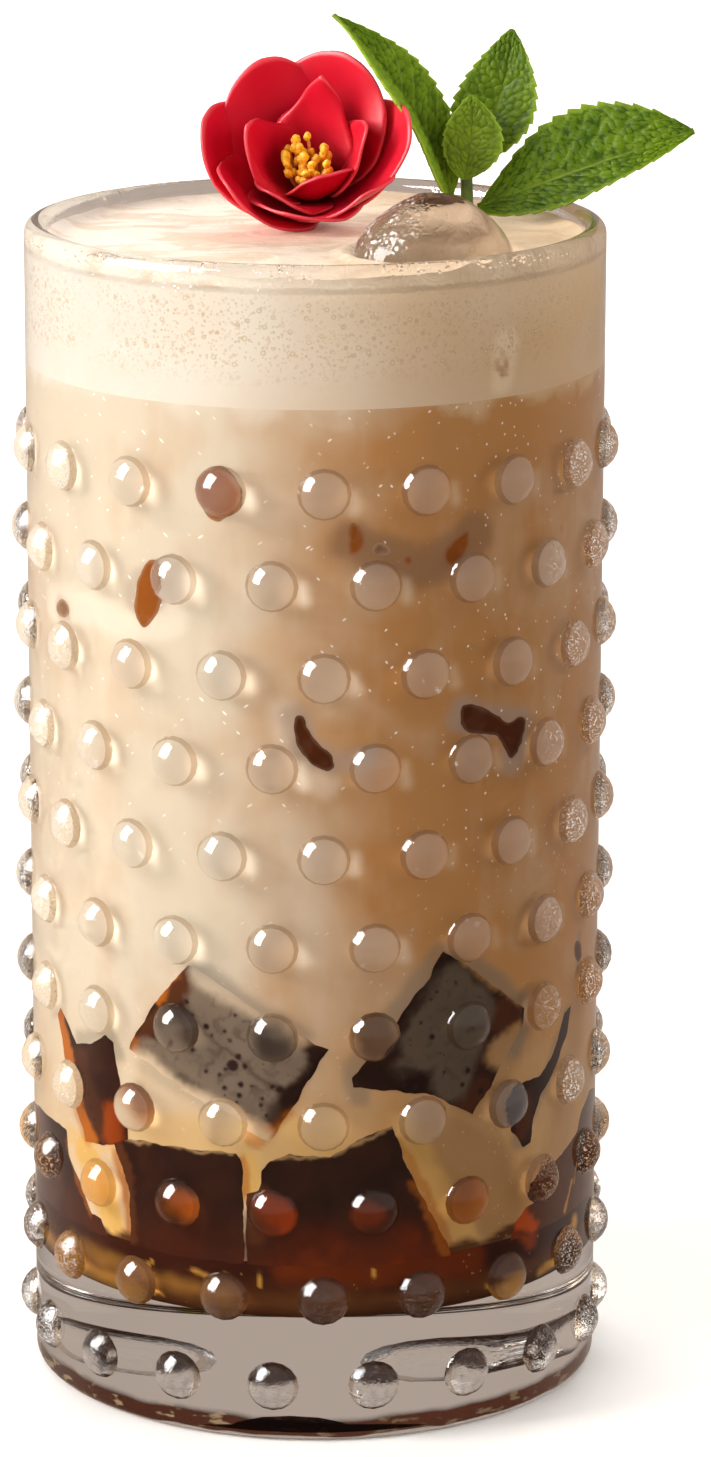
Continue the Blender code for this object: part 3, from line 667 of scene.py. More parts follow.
# Jelly cubes: outline on the wall, how far the cube reaches inwards, stains on its face, and pits as
# (azimuth, height, radius).
CUBES = {
    "upper_left": {
        "outline": (
            (-66.6, 48.6), (-65.2, 49.6), (-62.4, 48.2), (-58.4, 46.2), (-54.0, 46.6), (-48.6, 48.4),
            (-46.2, 48.0), (-44.6, 43.4), (-42.4, 37.8), (-41.8, 35.4), (-49.9, 34.0), (-55.2, 33.8),
            (-59.0, 37.9), (-63.1, 43.1),
        ),
        "depth": 7.8,
        "stains": (
            ("amber", 1.0, 1.3, 0.8, 1.0, (
                (-66.0, 48.8), (-63.2, 45.6), (-60.0, 40.6), (-56.4, 36.4), (-53.0, 34.2),
            )),
            ("brown", 2.0, 2.4, 1.6, 0.55, ((-57.5, 44.0), (-54.5, 39.5), (-50.5, 36.5))),
            ("glow", 1.6, 2.0, 1.8, 0.5, ((-46.8, 38.5), (-46.5, 36.0))),
        ),
        "pits": (
            (-56.4, 42.4, 0.35), (-55.4, 41.2, 0.3), (-54.5, 40.1, 0.35), (-53.7, 38.4, 0.3),
            (-52.5, 37.1, 0.3),
        ),
    },
    "upper_front_left": {
        "outline": (
            (-26.9, 60.0), (-24.8, 59.6), (-9.2, 54.1), (2.9, 50.3), (-1.0, 46.4), (-9.4, 38.2),
            (-30.1, 44.6), (-41.9, 47.9), (-34.0, 55.0),
        ),
        "depth": 7.8,
        "stains": (
            ("milk", 3.2, 3.2, 1.3, 1.0, ((-22.0, 55.4), (-13.0, 51.4), (-7.0, 48.8))),
            ("milk", 3.4, 3.0, 1.6, 1.0, ((-28.0, 49.8), (-20.0, 46.6), (-12.5, 43.4))),
            ("milk", 1.6, 1.6, 1.2, 0.9, ((-36.5, 48.4), (-30.0, 47.4))),
            ("veil", 2.2, 2.2, 2.0, 1.0, ((-38.6, 45.8), (-30.0, 43.0), (-18.0, 40.0), (-12.6, 38.6))),
            ("veil", 1.9, 1.5, 2.0, 0.75, ((-23.5, 59.4), (-10.0, 54.8), (-3.0, 52.4))),
            ("line", 0.9, 1.1, 1.1, 0.7, ((1.4, 49.0), (-4.0, 44.8), (-8.6, 41.4))),
            ("amber", 0.9, 0.5, 0.7, 0.85, ((-30.6, 58.6), (-34.6, 54.6))),
            ("line", 1.5, 1.5, 1.2, 0.8, ((-28.6, 52.9), (-27.6, 51.6))),
            ("line", 1.5, 1.5, 1.2, 0.72, ((-8.6, 52.4), (-7.8, 51.6))),
            ("brown", 1.4, 0.9, 0.9, 0.8, ((-27.4, 58.6), (-33.0, 53.4), (-40.6, 48.2))),
            ("amber", 0.7, 0.9, 0.8, 0.7, ((-39.6, 48.8), (-39.8, 47.2))),
            ("amber", 0.6, 1.2, 1.0, 0.9, ((-4.0, 42.6), (-8.6, 39.6))),
            ("amber", 0.8, 1.4, 1.2, 0.5, ((-12.0, 41.0), (-9.8, 39.8))),
        ),
        "pits": (
            (-17.1, 47.8, 1.15), (-15.8, 48.9, 0.65), (-14.4, 47.8, 0.55), (-15.3, 45.4, 0.6),
            (-19.9, 46.4, 0.4), (-22.8, 52.4, 0.6), (-18.7, 52.1, 0.35), (-17.7, 51.0, 0.4),
            (-15.6, 44.0, 0.55), (-10.8, 43.8, 0.4), (-7.2, 45.0, 0.75), (-16.6, 54.2, 0.35),
            (-27.3, 55.3, 0.5), (-26.0, 49.2, 0.5), (-22.9, 46.7, 0.4), (-18.8, 44.8, 0.5),
            (-10.0, 41.7, 0.35), (-21.5, 51.4, 0.35), (-8.7, 45.4, 0.45), (-11.1, 43.0, 0.45),
            (-16.2, 43.1, 0.3), (-18.6, 47.2, 0.4), (-25.9, 53.6, 0.35), (-13.0, 45.4, 0.3),
        ),
    },
    "upper_front_right": {
        "outline": (
            (27.4, 61.6), (29.0, 61.1), (48.4, 52.2), (48.2, 50.2), (34.5, 40.1), (24.9, 43.6), (8.1, 45.3),
            (7.8, 46.6), (19.0, 54.8),
        ),
        "depth": 7.8,
        "stains": (
            ("dim", 3.4, 4.0, 1.8, 1.0, ((28.6, 56.4), (24.6, 50.6))),
            ("dim", 3.6, 2.6, 1.8, 1.0, ((33.6, 53.6), (31.0, 48.0), (29.0, 44.6))),
            ("dim", 2.4, 1.2, 1.6, 0.9, ((22.0, 48.6), (18.0, 47.2))),
            ("brown", 2.2, 2.0, 1.8, 0.7, ((42.4, 52.0), (45.6, 51.0))),
            ("veil", 1.8, 1.2, 1.6, 0.75, ((41.0, 47.0), (46.4, 49.6))),
            ("veil", 0.5, 0.4, 0.9, 0.6, ((32.0, 60.0), (47.0, 53.0))),
            ("brown", 1.2, 1.6, 1.2, 0.7, ((36.6, 43.6), (33.4, 41.4))),
            ("line", 0.3, 0.2, 0.3, 1.0, ((48.1, 51.8), (47.4, 49.8), (44.4, 48.0))),
            ("line", 1.4, 1.5, 1.2, 0.75, ((10.5, 46.6), (16.0, 46.4), (21.5, 45.4))),
            ("line", 1.0, 1.1, 1.1, 0.65, ((17.5, 52.8), (22.5, 57.2), (27.6, 60.8))),
        ),
        "pits": (
            (24.6, 51.0, 0.55), (21.1, 44.7, 0.5), (24.3, 55.8, 0.3), (33.2, 45.9, 0.6), (36.4, 42.9, 0.7),
            (27.5, 46.2, 0.35), (30.1, 57.5, 0.3), (25.5, 56.6, 0.35), (31.8, 44.2, 0.5), (18.6, 45.2, 0.4),
            (28.8, 52.9, 0.3), (22.2, 52.9, 0.35),
        ),
    },
    "upper_right": {
        "outline": (
            (66.2, 49.8), (63.4, 49.4), (60.6, 46.6), (58.0, 44.4), (53.6, 42.4), (48.2, 42.6),
            (44.6, 40.0), (45.0, 36.6), (48.6, 34.0), (50.9, 34.4), (51.6, 37.4), (54.0, 39.8),
            (57.6, 41.6), (60.6, 43.4), (64.4, 46.6),
        ),
        "depth": 7.0,
        "stains": (("brown", 1.4, 1.4, 1.2, 0.7, ((48.4, 39.6), (48.2, 36.4))),),
        "pits": (),
    },
    "far_left": {
        "outline": (
            (-86.0, 22.3), (-86.0, 33.0), (-81.0, 33.9), (-69.0, 34.1), (-63.4, 33.9), (-62.0, 30.6),
            (-58.8, 28.6), (-53.6, 24.6), (-50.4, 24.4), (-48.6, 22.3),
        ),
        "depth": 16.0,
        "stains": (
            ("mauve", 4.0, 5.0, 3.0, 0.8, ((-79.0, 31.0), (-74.0, 26.0))),
            ("amber", 0.5, 0.5, 0.7, 0.5, ((-62.6, 32.6), (-58.6, 28.4), (-54.0, 24.6))),
        ),
        "pits": (),
    },
    "front_left": {
        "outline": (
            (-41.6, 22.3), (-41.4, 24.6), (-41.8, 29.0), (-43.6, 33.0), (-46.0, 35.0), (-41.7, 35.8),
            (-33.8, 36.4), (-24.4, 36.2), (-16.4, 36.5), (-15.4, 35.2), (-14.9, 31.9), (-14.7, 22.3),
        ),
        "depth": 16.0,
        "stains": (
            ("brown", 0.9, 0.8, 0.9, 0.9, ((-44.6, 34.2), (-42.0, 30.0), (-41.6, 23.0))),
            ("amber", 1.0, 1.2, 1.1, 0.6, ((-30.0, 29.2), (-27.6, 28.6))),
            ("crumb", 0.25, 0.25, 0.5, 0.8, ((-42.0, 35.8), (-33.8, 36.4), (-24.4, 36.2), (-17.0, 36.5))),
        ),
        "pits": (),
    },
    "front": {
        "outline": (
            (-14.2, 22.3), (-14.2, 31.4), (-11.8, 31.9), (-10.8, 34.6), (-9.3, 36.0), (-5.1, 36.8),
            (-1.5, 36.6), (3.1, 36.5), (7.2, 37.9), (10.4, 38.9), (15.9, 40.2), (17.8, 37.2), (19.2, 34.5),
            (21.7, 31.8), (23.9, 29.3), (26.0, 26.9), (28.6, 23.6), (29.4, 22.3),
        ),
        "depth": 16.0,
        "stains": (
            ("brown", 2.2, 1.2, 1.4, 0.8, ((-12.6, 31.0), (-12.0, 26.0))),
            ("glow", 0.9, 1.1, 1.1, 0.45, ((-9.4, 29.4), (-7.6, 28.8))),
            ("glow", 0.8, 0.9, 1.0, 0.3, ((10.4, 28.8), (12.4, 28.6))),
            ("amber", 0.6, 0.8, 0.9, 0.6, ((21.0, 32.0), (25.6, 26.4), (28.4, 23.0))),
            ("crumb", 0.25, 0.25, 0.5, 0.8, ((-9.0, 36.0), (-1.5, 36.7), (4.0, 36.8), (15.9, 40.2))),
        ),
        "pits": (),
    },
    "right": {
        "outline": (
            (45.0, 22.3), (46.4, 24.2), (49.6, 26.0), (52.8, 26.2), (54.8, 28.6), (58.2, 30.0),
            (65.0, 30.4), (70.0, 32.4), (73.0, 34.6), (79.0, 36.2), (92.0, 34.4), (93.0, 22.3),
        ),
        "depth": 14.0,
        "stains": (
            ("brown", 7.0, 7.0, 3.0, 1.0, ((60.0, 26.0), (80.0, 27.0))),
            ("mauve", 2.4, 2.4, 3.0, 0.5, ((76.0, 32.6), (82.0, 30.0))),
            ("glow", 1.6, 1.0, 1.1, 1.0, ((48.8, 24.4), (52.0, 22.8))),
            # the thin gold strokes are painted glints
            ("gold", 0.25, 0.3, 0.4, 0.8, ((67.5, 26.4), (64.6, 23.0))),
            ("gold", 0.2, 0.2, 0.3, 0.7, ((71.6, 29.6), (68.6, 25.8))),
        ),
        "pits": (),
    },
}
# Cubes at the back of the glass: azimuth and height of the face's middle, its width, its height and
# its roll, and how far the cube reaches inwards.
BACK_CUBES = {
    "right_back": (117.6, 28.5, 12.0, 12.6, -5.0, 8.5),
    "back_right": (195.2, 28.6, 16.2, 13.2, -4.0, 14.0),
    "back_left": (164.8, 28.4, 16.2, 13.0, 4.0, 14.0),
    "left_back": (-117.7, 28.2, 11.6, 12.4, 6.0, 8.5),
    "upper_right_back": (118.0, 49.0, 15.0, 13.4, 28.0, 9.5),
    "upper_back": (172.0, 50.0, 17.0, 13.0, -22.0, 9.5),
    "upper_left_back": (-116.0, 48.5, 15.4, 14.0, 20.0, 9.5),
}
JELLY_LOW = SYRUP_HIGH.z / MM + 0.25
# Cubes at the back that lie higher than this have a milky face
MILKY_ABOVE = 40.0
# Longest edge on the face of a block at the front and at the back, and how far an outline strays from
# its course, in millimetres
FINE_STEP = 0.36
COARSE_STEP = 0.7
RAGGED = 0.3
MOST_CUTS = 9
# Sizes of the uneven pushes that make outlines and stains look poured
COARSE_WANDER = 2.6
FINE_WANDER = 0.8
# Blender seeds its noise vectors by the clock, so this gives every run the same outlines
NOISE_SEED = 1


def stain_values(places, stains):
    """For each kind of stain, how strongly it colours each place; places are (arc, height) in millimetres."""
    values = {}
    for kind, start, end, soft, strength, points in stains:
        marks = [(azimuth * ARC, height) for azimuth, height in points]
        if len(marks) == 1:
            marks = marks * 2
        best = np.zeros(len(places))
        for step, (first, second) in enumerate(zip(marks, marks[1:])):
            origin, leg = np.array(first), np.subtract(second, first)
            away = places - origin
            away[:, 0] = (away[:, 0] + FULL_TURN / 2) % FULL_TURN - FULL_TURN / 2
            share = np.clip(away @ leg / max(leg @ leg, 1e-6), 0.0, 1.0)
            distance = np.linalg.norm(away - share[:, None] * leg, axis=1)
            width = start + (end - start) * (step + share) / (len(marks) - 1)
            level = np.clip((width + soft / 2 - distance) / soft, 0.0, 1.0)
            best = np.maximum(best, level * level * (3 - 2 * level))
        earlier = values.get(kind, np.zeros(len(places)))
        values[kind] = np.maximum(earlier, best * strength)
    return values


def wander(point, coarse, fine):
    """A small uneven push, in millimetres, for a place on the wall given as a vector in millimetres."""
    push = coarse * noise.noise_vector(point / COARSE_WANDER)
    return push + fine * noise.noise_vector(point / FINE_WANDER)


def wall_places(mesh, coarse, fine):
    """Each vertex as (arc, height) in millimetres, pushed about so that stains have uneven edges."""
    places = np.empty((len(mesh.vertices), 2))
    for number, vert in enumerate(mesh.vertices):
        push = wander(vert.co / MM, coarse, fine)
        arc_length = math.degrees(math.atan2(vert.co.x, -vert.co.y)) * ARC
        places[number] = arc_length + push.x, vert.co.z / MM + push.z
    return places


def stain(piece, stains, kinds, coarse=0.5, fine=0.2):
    """Keeps each kind of stain on the piece, for stained() to read."""
    values = stain_values(wall_places(piece.data, coarse, fine), stains)
    for kind in kinds:
        store(piece.data, kind, values.get(kind, np.zeros(len(piece.data.vertices))))


def on_wall(arc_length, height):
    return outwards(arc_length / ARC) * JELLY_RADIUS + Vector((0, 0, height * MM))


def rounded(outline):
    """An outline with its corners cut off twice over, so that it is smooth."""
    for _ in range(2):
        pairs = list(zip(outline, outline[1:] + outline[:1]))
        outline = [mix for a, b in pairs for mix in (between(a, b, 0.25), between(a, b, 0.75))]
    return outline


def between(start, end, share):
    return tuple(a + (b - a) * share for a, b in zip(start, end))


def wall_block(outline, depth, step):
    """A block whose outer face follows the glass inside an outline, and which reaches inwards.

    Returns the bmesh and, for each vertex, millimetres from the outline on the outer face, 0 elsewhere."""
    bm = bmesh.new()
    corners = [bm.verts.new((azimuth * ARC, 0.0, height)) for azimuth, height in outline]
    bm.faces.new(corners)
    bmesh.ops.triangulate(bm, faces=bm.faces)
    for _ in range(MOST_CUTS):
        long_edges = [edge for edge in bm.edges if edge.calc_length() > step]
        if not long_edges:
            break
        bmesh.ops.subdivide_edges(bm, edges=long_edges, cuts=1)
        bmesh.ops.triangulate(bm, faces=bm.faces)
    inside = [vert for vert in bm.verts if not vert.is_boundary]
    bmesh.ops.smooth_vert(bm, verts=inside, factor=0.5, use_axis_x=True, use_axis_z=True)
    rim = [vert.co.copy() for vert in bm.verts if vert.is_boundary]
    tree = kdtree.KDTree(len(rim))
    for number, place in enumerate(rim):
        tree.insert(place, number)
    tree.balance()
    from_rim = {vert: tree.find(vert.co)[2] for vert in bm.verts}
    middle = sum(vert.co.x for vert in bm.verts) / len(bm.verts)
    for vert in bm.verts:
        push = wander(Vector((vert.co.x, middle, vert.co.z)), RAGGED, RAGGED * 0.4)
        vert.co = on_wall(vert.co.x + push.x, vert.co.z + push.z)
    sheet = bmesh.ops.extrude_face_region(bm, geom=bm.faces[:])
    moved = [item for item in sheet["geom"] if isinstance(item, bmesh.types.BMVert)]
    facing = outwards(middle / ARC)
    plane = JELLY_RADIUS - depth * MM
    for vert in moved:
        vert.co -= facing * (vert.co.dot(facing) - plane)
    return bm, [from_rim.get(vert, 0.0) for vert in bm.verts]


FOAM_PAINTED_SHADE = (0.71, 0.485, 0.255)
LATTE_LOW_DOWN = (0.74, 0.47, 0.20)
CREAM_FLECK = (1.0, 0.97, 0.93)
GATHERED_LIGHT = (1.0, 0.90, 0.74)


def foam_tone(finish, settings):
    """The colour of the foam: pale on the left and tan to the right as painted shade of the light from the
    left, with uneven patches.
    """
    # painted shade: tan to the right, away from the light
    side = finish.ramp(finish.axis("X"), -26 * MM, 32 * MM)
    patchy = finish.patches(20 * MM, start=-0.1, end=0.12, warp=0.8)
    return finish.mix(finish.plus(finish.times(side, 0.9), patchy, clamp=True), settings.foam, FOAM_PAINTED_SHADE)


def latte_tone(finish, settings):
    """The colour of the milky chai: pale on the left and deeper to the right as painted shade of the light
    from the left, with uneven tone, and deeper low down.
    """
    height = finish.axis("Z")
    # painted shade: darker from left to right as the light from the left falls off, with uneven patches and
    # runs of tone on top
    painted_shade_and_tone = finish.ramp(finish.axis("X"), -22 * MM, 19 * MM)
    painted_shade_and_tone = finish.plus(painted_shade_and_tone, finish.sway(24 * MM, 0.2, warp=0.7))
    runs = finish.sway(5 * MM, 0.09, warp=0.3, source=finish.scaled((1.0, 1.0, 0.25)))
    painted_shade_and_tone = finish.plus(painted_shade_and_tone, runs)
    painted_shade_and_tone = finish.plus(painted_shade_and_tone, finish.sway(6 * MM, 0.07, detail=4.0, warp=0.4), clamp=True)
    colour = finish.mix(painted_shade_and_tone, settings.pale, settings.deep)
    low = finish.ramp(height, 58 * MM, 30 * MM)
    colour = finish.mix(finish.times(low, 0.5), colour, LATTE_LOW_DOWN)
    # foam that sinks into the top
    uneven = finish.plus(height, finish.sway(6 * MM, 1.6 * MM, detail=4.0, warp=0.4))
    sunk = finish.ramp(uneven, FOAM_LINE - 2.4 * MM, FOAM_LINE + 1.6 * MM, 0.0, 0.85)
    return finish.mix(sunk, colour, foam_tone(finish, settings))


def stained(finish, colour, tints):
    """The colour with each kind of stain mixed in."""
    for kind, tint in tints.items():
        colour = finish.mix(finish.attribute(kind), colour, tint)
    return colour


LATTE_TINTS = {
    "tea": (0.36, 0.19, 0.075),
    "cream": (0.90, 0.80, 0.66),
    "rose": (0.34, 0.185, 0.095),
    "lilac": (0.44, 0.33, 0.26),
    "grey": (0.24, 0.20, 0.155),
    "gold": (0.76, 0.45, 0.11),
    "amber": (0.50, 0.16, 0.018),
    "sink": (0.085, 0.026, 0.008),
}


def latte_finish(settings):
    finish = Finish("milky chai")
    colour = stained(finish, latte_tone(finish, settings), LATTE_TINTS)
    # painted spots of light that the hobnails throw onto the latte
    colour = finish.mix(finish.attribute("glint"), colour, GATHERED_LIGHT)
    # flecks of cream, longer than wide
    for turn in ((0.5, 0.7, 0.2), (-0.4, -0.9, 0.7)):
        flecks = finish.cells(4.2 * MM, source=finish.scaled((3.0, 3.0, 1.0), source=finish.turned(turn)))
        scarce = finish.patches(15 * MM, 0.42, 0.55, detail=1.0)
        high = finish.ramp(finish.axis("Z"), 60 * MM, 90 * MM, 0.15, 1.0)
        share = finish.times(finish.ramp(flecks, 0.12, 0.06), finish.times(scarce, high))
        colour = finish.mix(share, colour, CREAM_FLECK)
    finish.set("Base Color", colour)
    finish.set("Roughness", 0.6)
    finish.set("Specular IOR Level", 0.0)
    return finish


SPOTS_ABOVE = 62.0
SPOTS_FROM, SPOTS_TO = -140.0, 60.0


def gathered_light():
    """A painted pale spot of light beside each hobnail above the jelly, where the hobnail throws the window's
    light.
    """
    chance = random.Random(4)
    spots = []
    for azimuth, centre in bump_centres():
        height = centre.z / MM
        azimuth = (azimuth + 180.0) % 360.0 - 180.0
        if SPOTS_ABOVE < height and SPOTS_FROM < azimuth < SPOTS_TO:
            # the light falls beside the hobnail, a little further off towards the right
            away = azimuth + 6.3 + 0.065 * azimuth
            start = (away + chance.uniform(-0.4, 0.2), height - 0.2)
            end = (away + chance.uniform(-0.3, 0.4), height - 2.2 + chance.uniform(-0.4, 0.4))
            from_window = min(1.0, max(0.0, (azimuth + 20.0) / 45.0))
            strength = chance.uniform(0.5, 0.8) * (1.0 - 0.7 * from_window)
            spots.append(("glint", 0.5, 0.75, 1.6, strength, (start, end)))
    return spots


class CHAI_OT_latte(bpy.types.Operator):
    """Pour the milky chai up to the foam"""

    bl_idname = "chai.latte"
    bl_label = "Latte"

    def execute(self, context):
        settings = context.scene.chai_drink
        low, high = SYRUP_TOP, FOAM_LINE
        profile = [(0.0, high)]
        for row in range(LATTE_ROWS + 1):
            profile.append((DRINK_RADIUS, high + (low - high) * row / LATTE_ROWS))
        profile.append((0.0, low))
        latte = piece_from(turned(profile, DRINK_STEPS), "latte_body", [latte_finish(settings)], sharp=40)
        stain(latte, LATTE_STAINS, LATTE_TINTS)
        stain(latte, gathered_light(), ("glint",), coarse=0.1, fine=0.1)
        dress(latte, "chai_latte", "latte")
        return {"FINISHED"}


# Stains on the syrup, as LATTE_STAINS.
SYRUP_STAINS = (
    # the red strokes are a painted glow where light shines through the syrup
    ("red", 1.4, 2.2, 2.6, 0.5, ((-6.0, 21.8), (6.0, 21.2), (20.0, 21.6), (34.0, 21.0))),
    ("gold", 1.0, 1.3, 2.0, 0.4, ((-74.0, 17.4), (-62.0, 17.0), (-52.0, 16.6), (-42.0, 16.2))),
    ("gold", 1.2, 0.8, 2.2, 0.25, ((-60.0, 19.4), (-45.0, 19.0), (-30.0, 18.4), (-20.0, 18.0))),
    ("red", 1.2, 1.4, 1.2, 1.0, ((48.0, 23.0), (51.4, 21.6))),
    ("brown", 1.0, 1.0, 2.2, 0.8, ((-80.0, 17.4), (-40.0, 17.0), (-10.0, 17.2), (40.0, 17.6), (80.0, 18.0))),
    ("gold", 0.2, 0.2, 0.3, 0.8, ((-38.6, 20.0), (-36.0, 21.0))),
    ("gold", 0.25, 0.2, 0.3, 0.8, ((-36.8, 16.8), (-33.6, 16.5))),
    ("gold", 0.25, 0.35, 0.6, 0.6, ((-26.0, 20.7), (-21.0, 20.0), (-18.6, 20.4))),
    ("gold", 0.15, 0.15, 0.3, 0.8, ((-11.2, 21.4), (-11.6, 19.2))),
    ("gold", 0.3, 0.6, 0.7, 0.8, ((39.0, 17.2), (44.0, 16.6), (47.0, 17.2))),
    ("gold", 0.6, 0.9, 0.9, 0.9, ((55.0, 16.6), (61.0, 17.0), (66.0, 18.0), (70.0, 20.6))),
    ("gold", 0.2, 0.2, 0.3, 0.8, ((12.4, 21.6), (12.8, 20.8))),
    ("brown", 0.7, 0.9, 1.0, 0.7, ((-55.0, 18.0), (-45.0, 17.2), (-30.0, 18.6))),
)
SYRUP_TINTS = {
    "brown": (0.12, 0.042, 0.012),
    "red": (0.26, 0.040, 0.004),
    "gold": (0.75, 0.36, 0.06),
}


SYRUP_HIGH_TONE = (0.045, 0.011, 0.005)
SYRUP_LOW_TONE = (0.10, 0.03, 0.008)
SPICE_CRUMB = (0.55, 0.25, 0.05)


def syrup_finish():
    finish = Finish("amber syrup")
    uneven = finish.plus(finish.axis("Z"), finish.sway(8 * MM, 1.6 * MM, warp=1.0))
    low = finish.ramp(uneven, 21.5 * MM, 15.5 * MM)
    colour = finish.mix(low, SYRUP_HIGH_TONE, SYRUP_LOW_TONE)
    colour = stained(finish, colour, SYRUP_TINTS)
    cells = finish.cells(1.3 * MM, source=finish.warp(1.5 * MM, 1.0 * MM))
    crumbs = finish.times(finish.ramp(cells, 0.16, 0.06), finish.patches(7 * MM, 0.52, 0.62, detail=2.0))
    colour = finish.mix(finish.times(crumbs, 0.5), colour, SPICE_CRUMB)
    finish.set("Base Color", colour)
    finish.set("Roughness", 0.4)
    finish.set("Specular IOR Level", 0.0)
    return finish


class CHAI_OT_syrup(bpy.types.Operator):
    """Pour the dark syrup that lies under the jelly"""

    bl_idname = "chai.syrup"
    bl_label = "Syrup"

    def execute(self, context):
        round_floor = CAVITY_ROUND + INTO_WALL
        top = SYRUP_TOP
        low = CAVITY_FLOOR - INTO_WALL
        profile = [(0.0, top)]
        for row in range(SYRUP_ROWS):
            profile.append((DRINK_RADIUS, top - (top - low - round_floor) * row / SYRUP_ROWS))
        profile += arc((DRINK_RADIUS - round_floor, low + round_floor), round_floor, 0, -90, 10)
        profile += [(DRINK_RADIUS * share, low) for share in (0.7, 0.4, 0.0)]
        finish = syrup_finish()
        syrup = piece_from(turned(profile, DRINK_STEPS), "syrup_layer", [finish], sharp=60)
        stain(syrup, SYRUP_STAINS, SYRUP_TINTS)
        dress(syrup, "brown_syrup", "syrup")
        return {"FINISHED"}


def sunken_ice_finish(tone, inner, outer):
    finish = Finish(f"{tone} sunken ice")
    from_edge = finish.ramp(finish.attribute("edge"), 0.0, 0.6)
    depth = finish.plus(from_edge, finish.sway(2.2 * MM, 0.25), clamp=True)
    finish.set("Base Color", finish.mix(depth, outer, inner))
    finish.set("Roughness", 0.5)
    finish.set("Specular IOR Level", 0.0)
    return finish


class CHAI_OT_sunken_ice(bpy.types.Operator):
    """Lay the ice that shows as dark windows where it touches the glass"""

    bl_idname = "chai.sunken_ice"
    bl_label = "Sunken Ice"

    def execute(self, context):
        finishes = {tone: sunken_ice_finish(tone, *colours) for tone, colours in ICE_TONES.items()}
        for number, (tone, outline) in enumerate(SUNKEN_ICE):
            bm, edge = wall_block(rounded(list(outline)), ICE_REACH, ICE_STEP)
            piece = piece_from(bm, f"sunken_ice_{number + 1}", [finishes[tone]], sharp=50)
            store(piece.data, "edge", edge)
            dress(piece, "ice")
        return {"FINISHED"}


# ---------------------------------------------------------------- jelly

JELLY_TINTS = {
    "brown": (0.105, 0.032, 0.012),
    "mauve": (0.085, 0.040, 0.030),
    "amber": (0.46, 0.125, 0.012),
    "glow": (0.50, 0.075, 0.004),
    "gold": (0.70, 0.33, 0.06),
    "crumb": (0.45, 0.27, 0.12),
    "milk": (0.215, 0.160, 0.115),
    "dim": (0.125, 0.088, 0.058),
    "line": (0.020, 0.008, 0.005),
}
PIT_COLOUR = (0.030, 0.015, 0.014)
PITTED_FILM = (0.07, 0.045, 0.035)
JELLY_BROWN = (0.050, 0.018, 0.010)
JELLY_GLOW_RED = (0.22, 0.032, 0.004)


def jelly_finish(settings):
    finish = Finish("dark jelly")
    brown = finish.patches(7 * MM, 0.3, 0.8, detail=4.0, warp=0.5)
    colour = finish.mix(brown, settings.jelly, JELLY_BROWN)
    # a painted red glow low down and towards the right, where light shines through the jelly
    low = finish.ramp(finish.axis("Z"), 29.5 * MM, 22.5 * MM)
    painted_red_glow = finish.times(low, finish.ramp(finish.axis("X"), -12 * MM, 8 * MM, 0.2, 1.0))
    painted_red_glow = finish.times(painted_red_glow, finish.patches(6 * MM, 0.35, 0.60, 0.45, 1.0))
    colour = finish.mix(painted_red_glow, colour, JELLY_GLOW_RED)
    colour = stained(finish, colour, JELLY_TINTS)
    # fine pits in the milky film
    film = finish.larger(finish.attribute("milk"), finish.attribute("dim"))
    small = finish.ramp(finish.cells(0.9 * MM, source=finish.warp(2 * MM, 0.8 * MM)), 0.26, 0.14)
    small = finish.times(small, finish.patches(4.5 * MM, 0.50, 0.60), 0.8)
    mottle = finish.patches(1.6 * MM, 0.48, 0.70, 0.0, 0.45, detail=4.0, warp=0.6)
    colour = finish.mix(finish.times(finish.larger(small, mottle), film), colour, PITTED_FILM)
    colour = finish.mix(finish.attribute("pit"), colour, PIT_COLOUR)
    colour = finish.mix(finish.attribute("veil"), colour, latte_tone(finish, settings))
    finish.set("Base Color", colour)
    finish.set("Roughness", 0.5)
    finish.set("Specular IOR Level", 0.0)
    return finish


def back_cube(azimuth, height, width, tall, roll, depth):
    """Outline and stains for a cube at the back: a rolled rectangle, milky on the upper cubes."""
    turn = math.radians(roll)
    outline = []
    for across, up in ((-1, 1), (0, 1.06), (1, 1), (1.04, 0), (1, -1), (0, -1), (-1, -1), (-1.03, 0)):
        right, rise = across * width / 2, up * tall / 2
        arc_length = right * math.cos(turn) - rise * math.sin(turn)
        level = right * math.sin(turn) + rise * math.cos(turn)
        outline.append((azimuth + arc_length / ARC, max(JELLY_LOW, height + level)))
    stains = [("brown", 0.7, 0.7, 0.9, 0.8, pair) for pair in zip(outline[::2], outline[1::2])]
    if height > MILKY_ABOVE:
        film = ((azimuth - 5, height), (azimuth + 6, height - 1))
        stains.append(("milk", tall * 0.26, tall * 0.2, 2.0, 0.85, film))
    return {"outline": outline, "depth": depth, "stains": stains, "pits": ()}


def pit_values(places, pits):
    """1 in the middle of each pit, a round mark at (azimuth, height) with its radius."""
    values = np.zeros(len(places))
    for azimuth, height, radius in pits:
        distance = np.hypot(places[:, 0] - azimuth * ARC, places[:, 1] - height)
        values = np.maximum(values, np.clip((radius * 0.62 - distance) / 0.22 + 0.5, 0.0, 1.0))
    return values


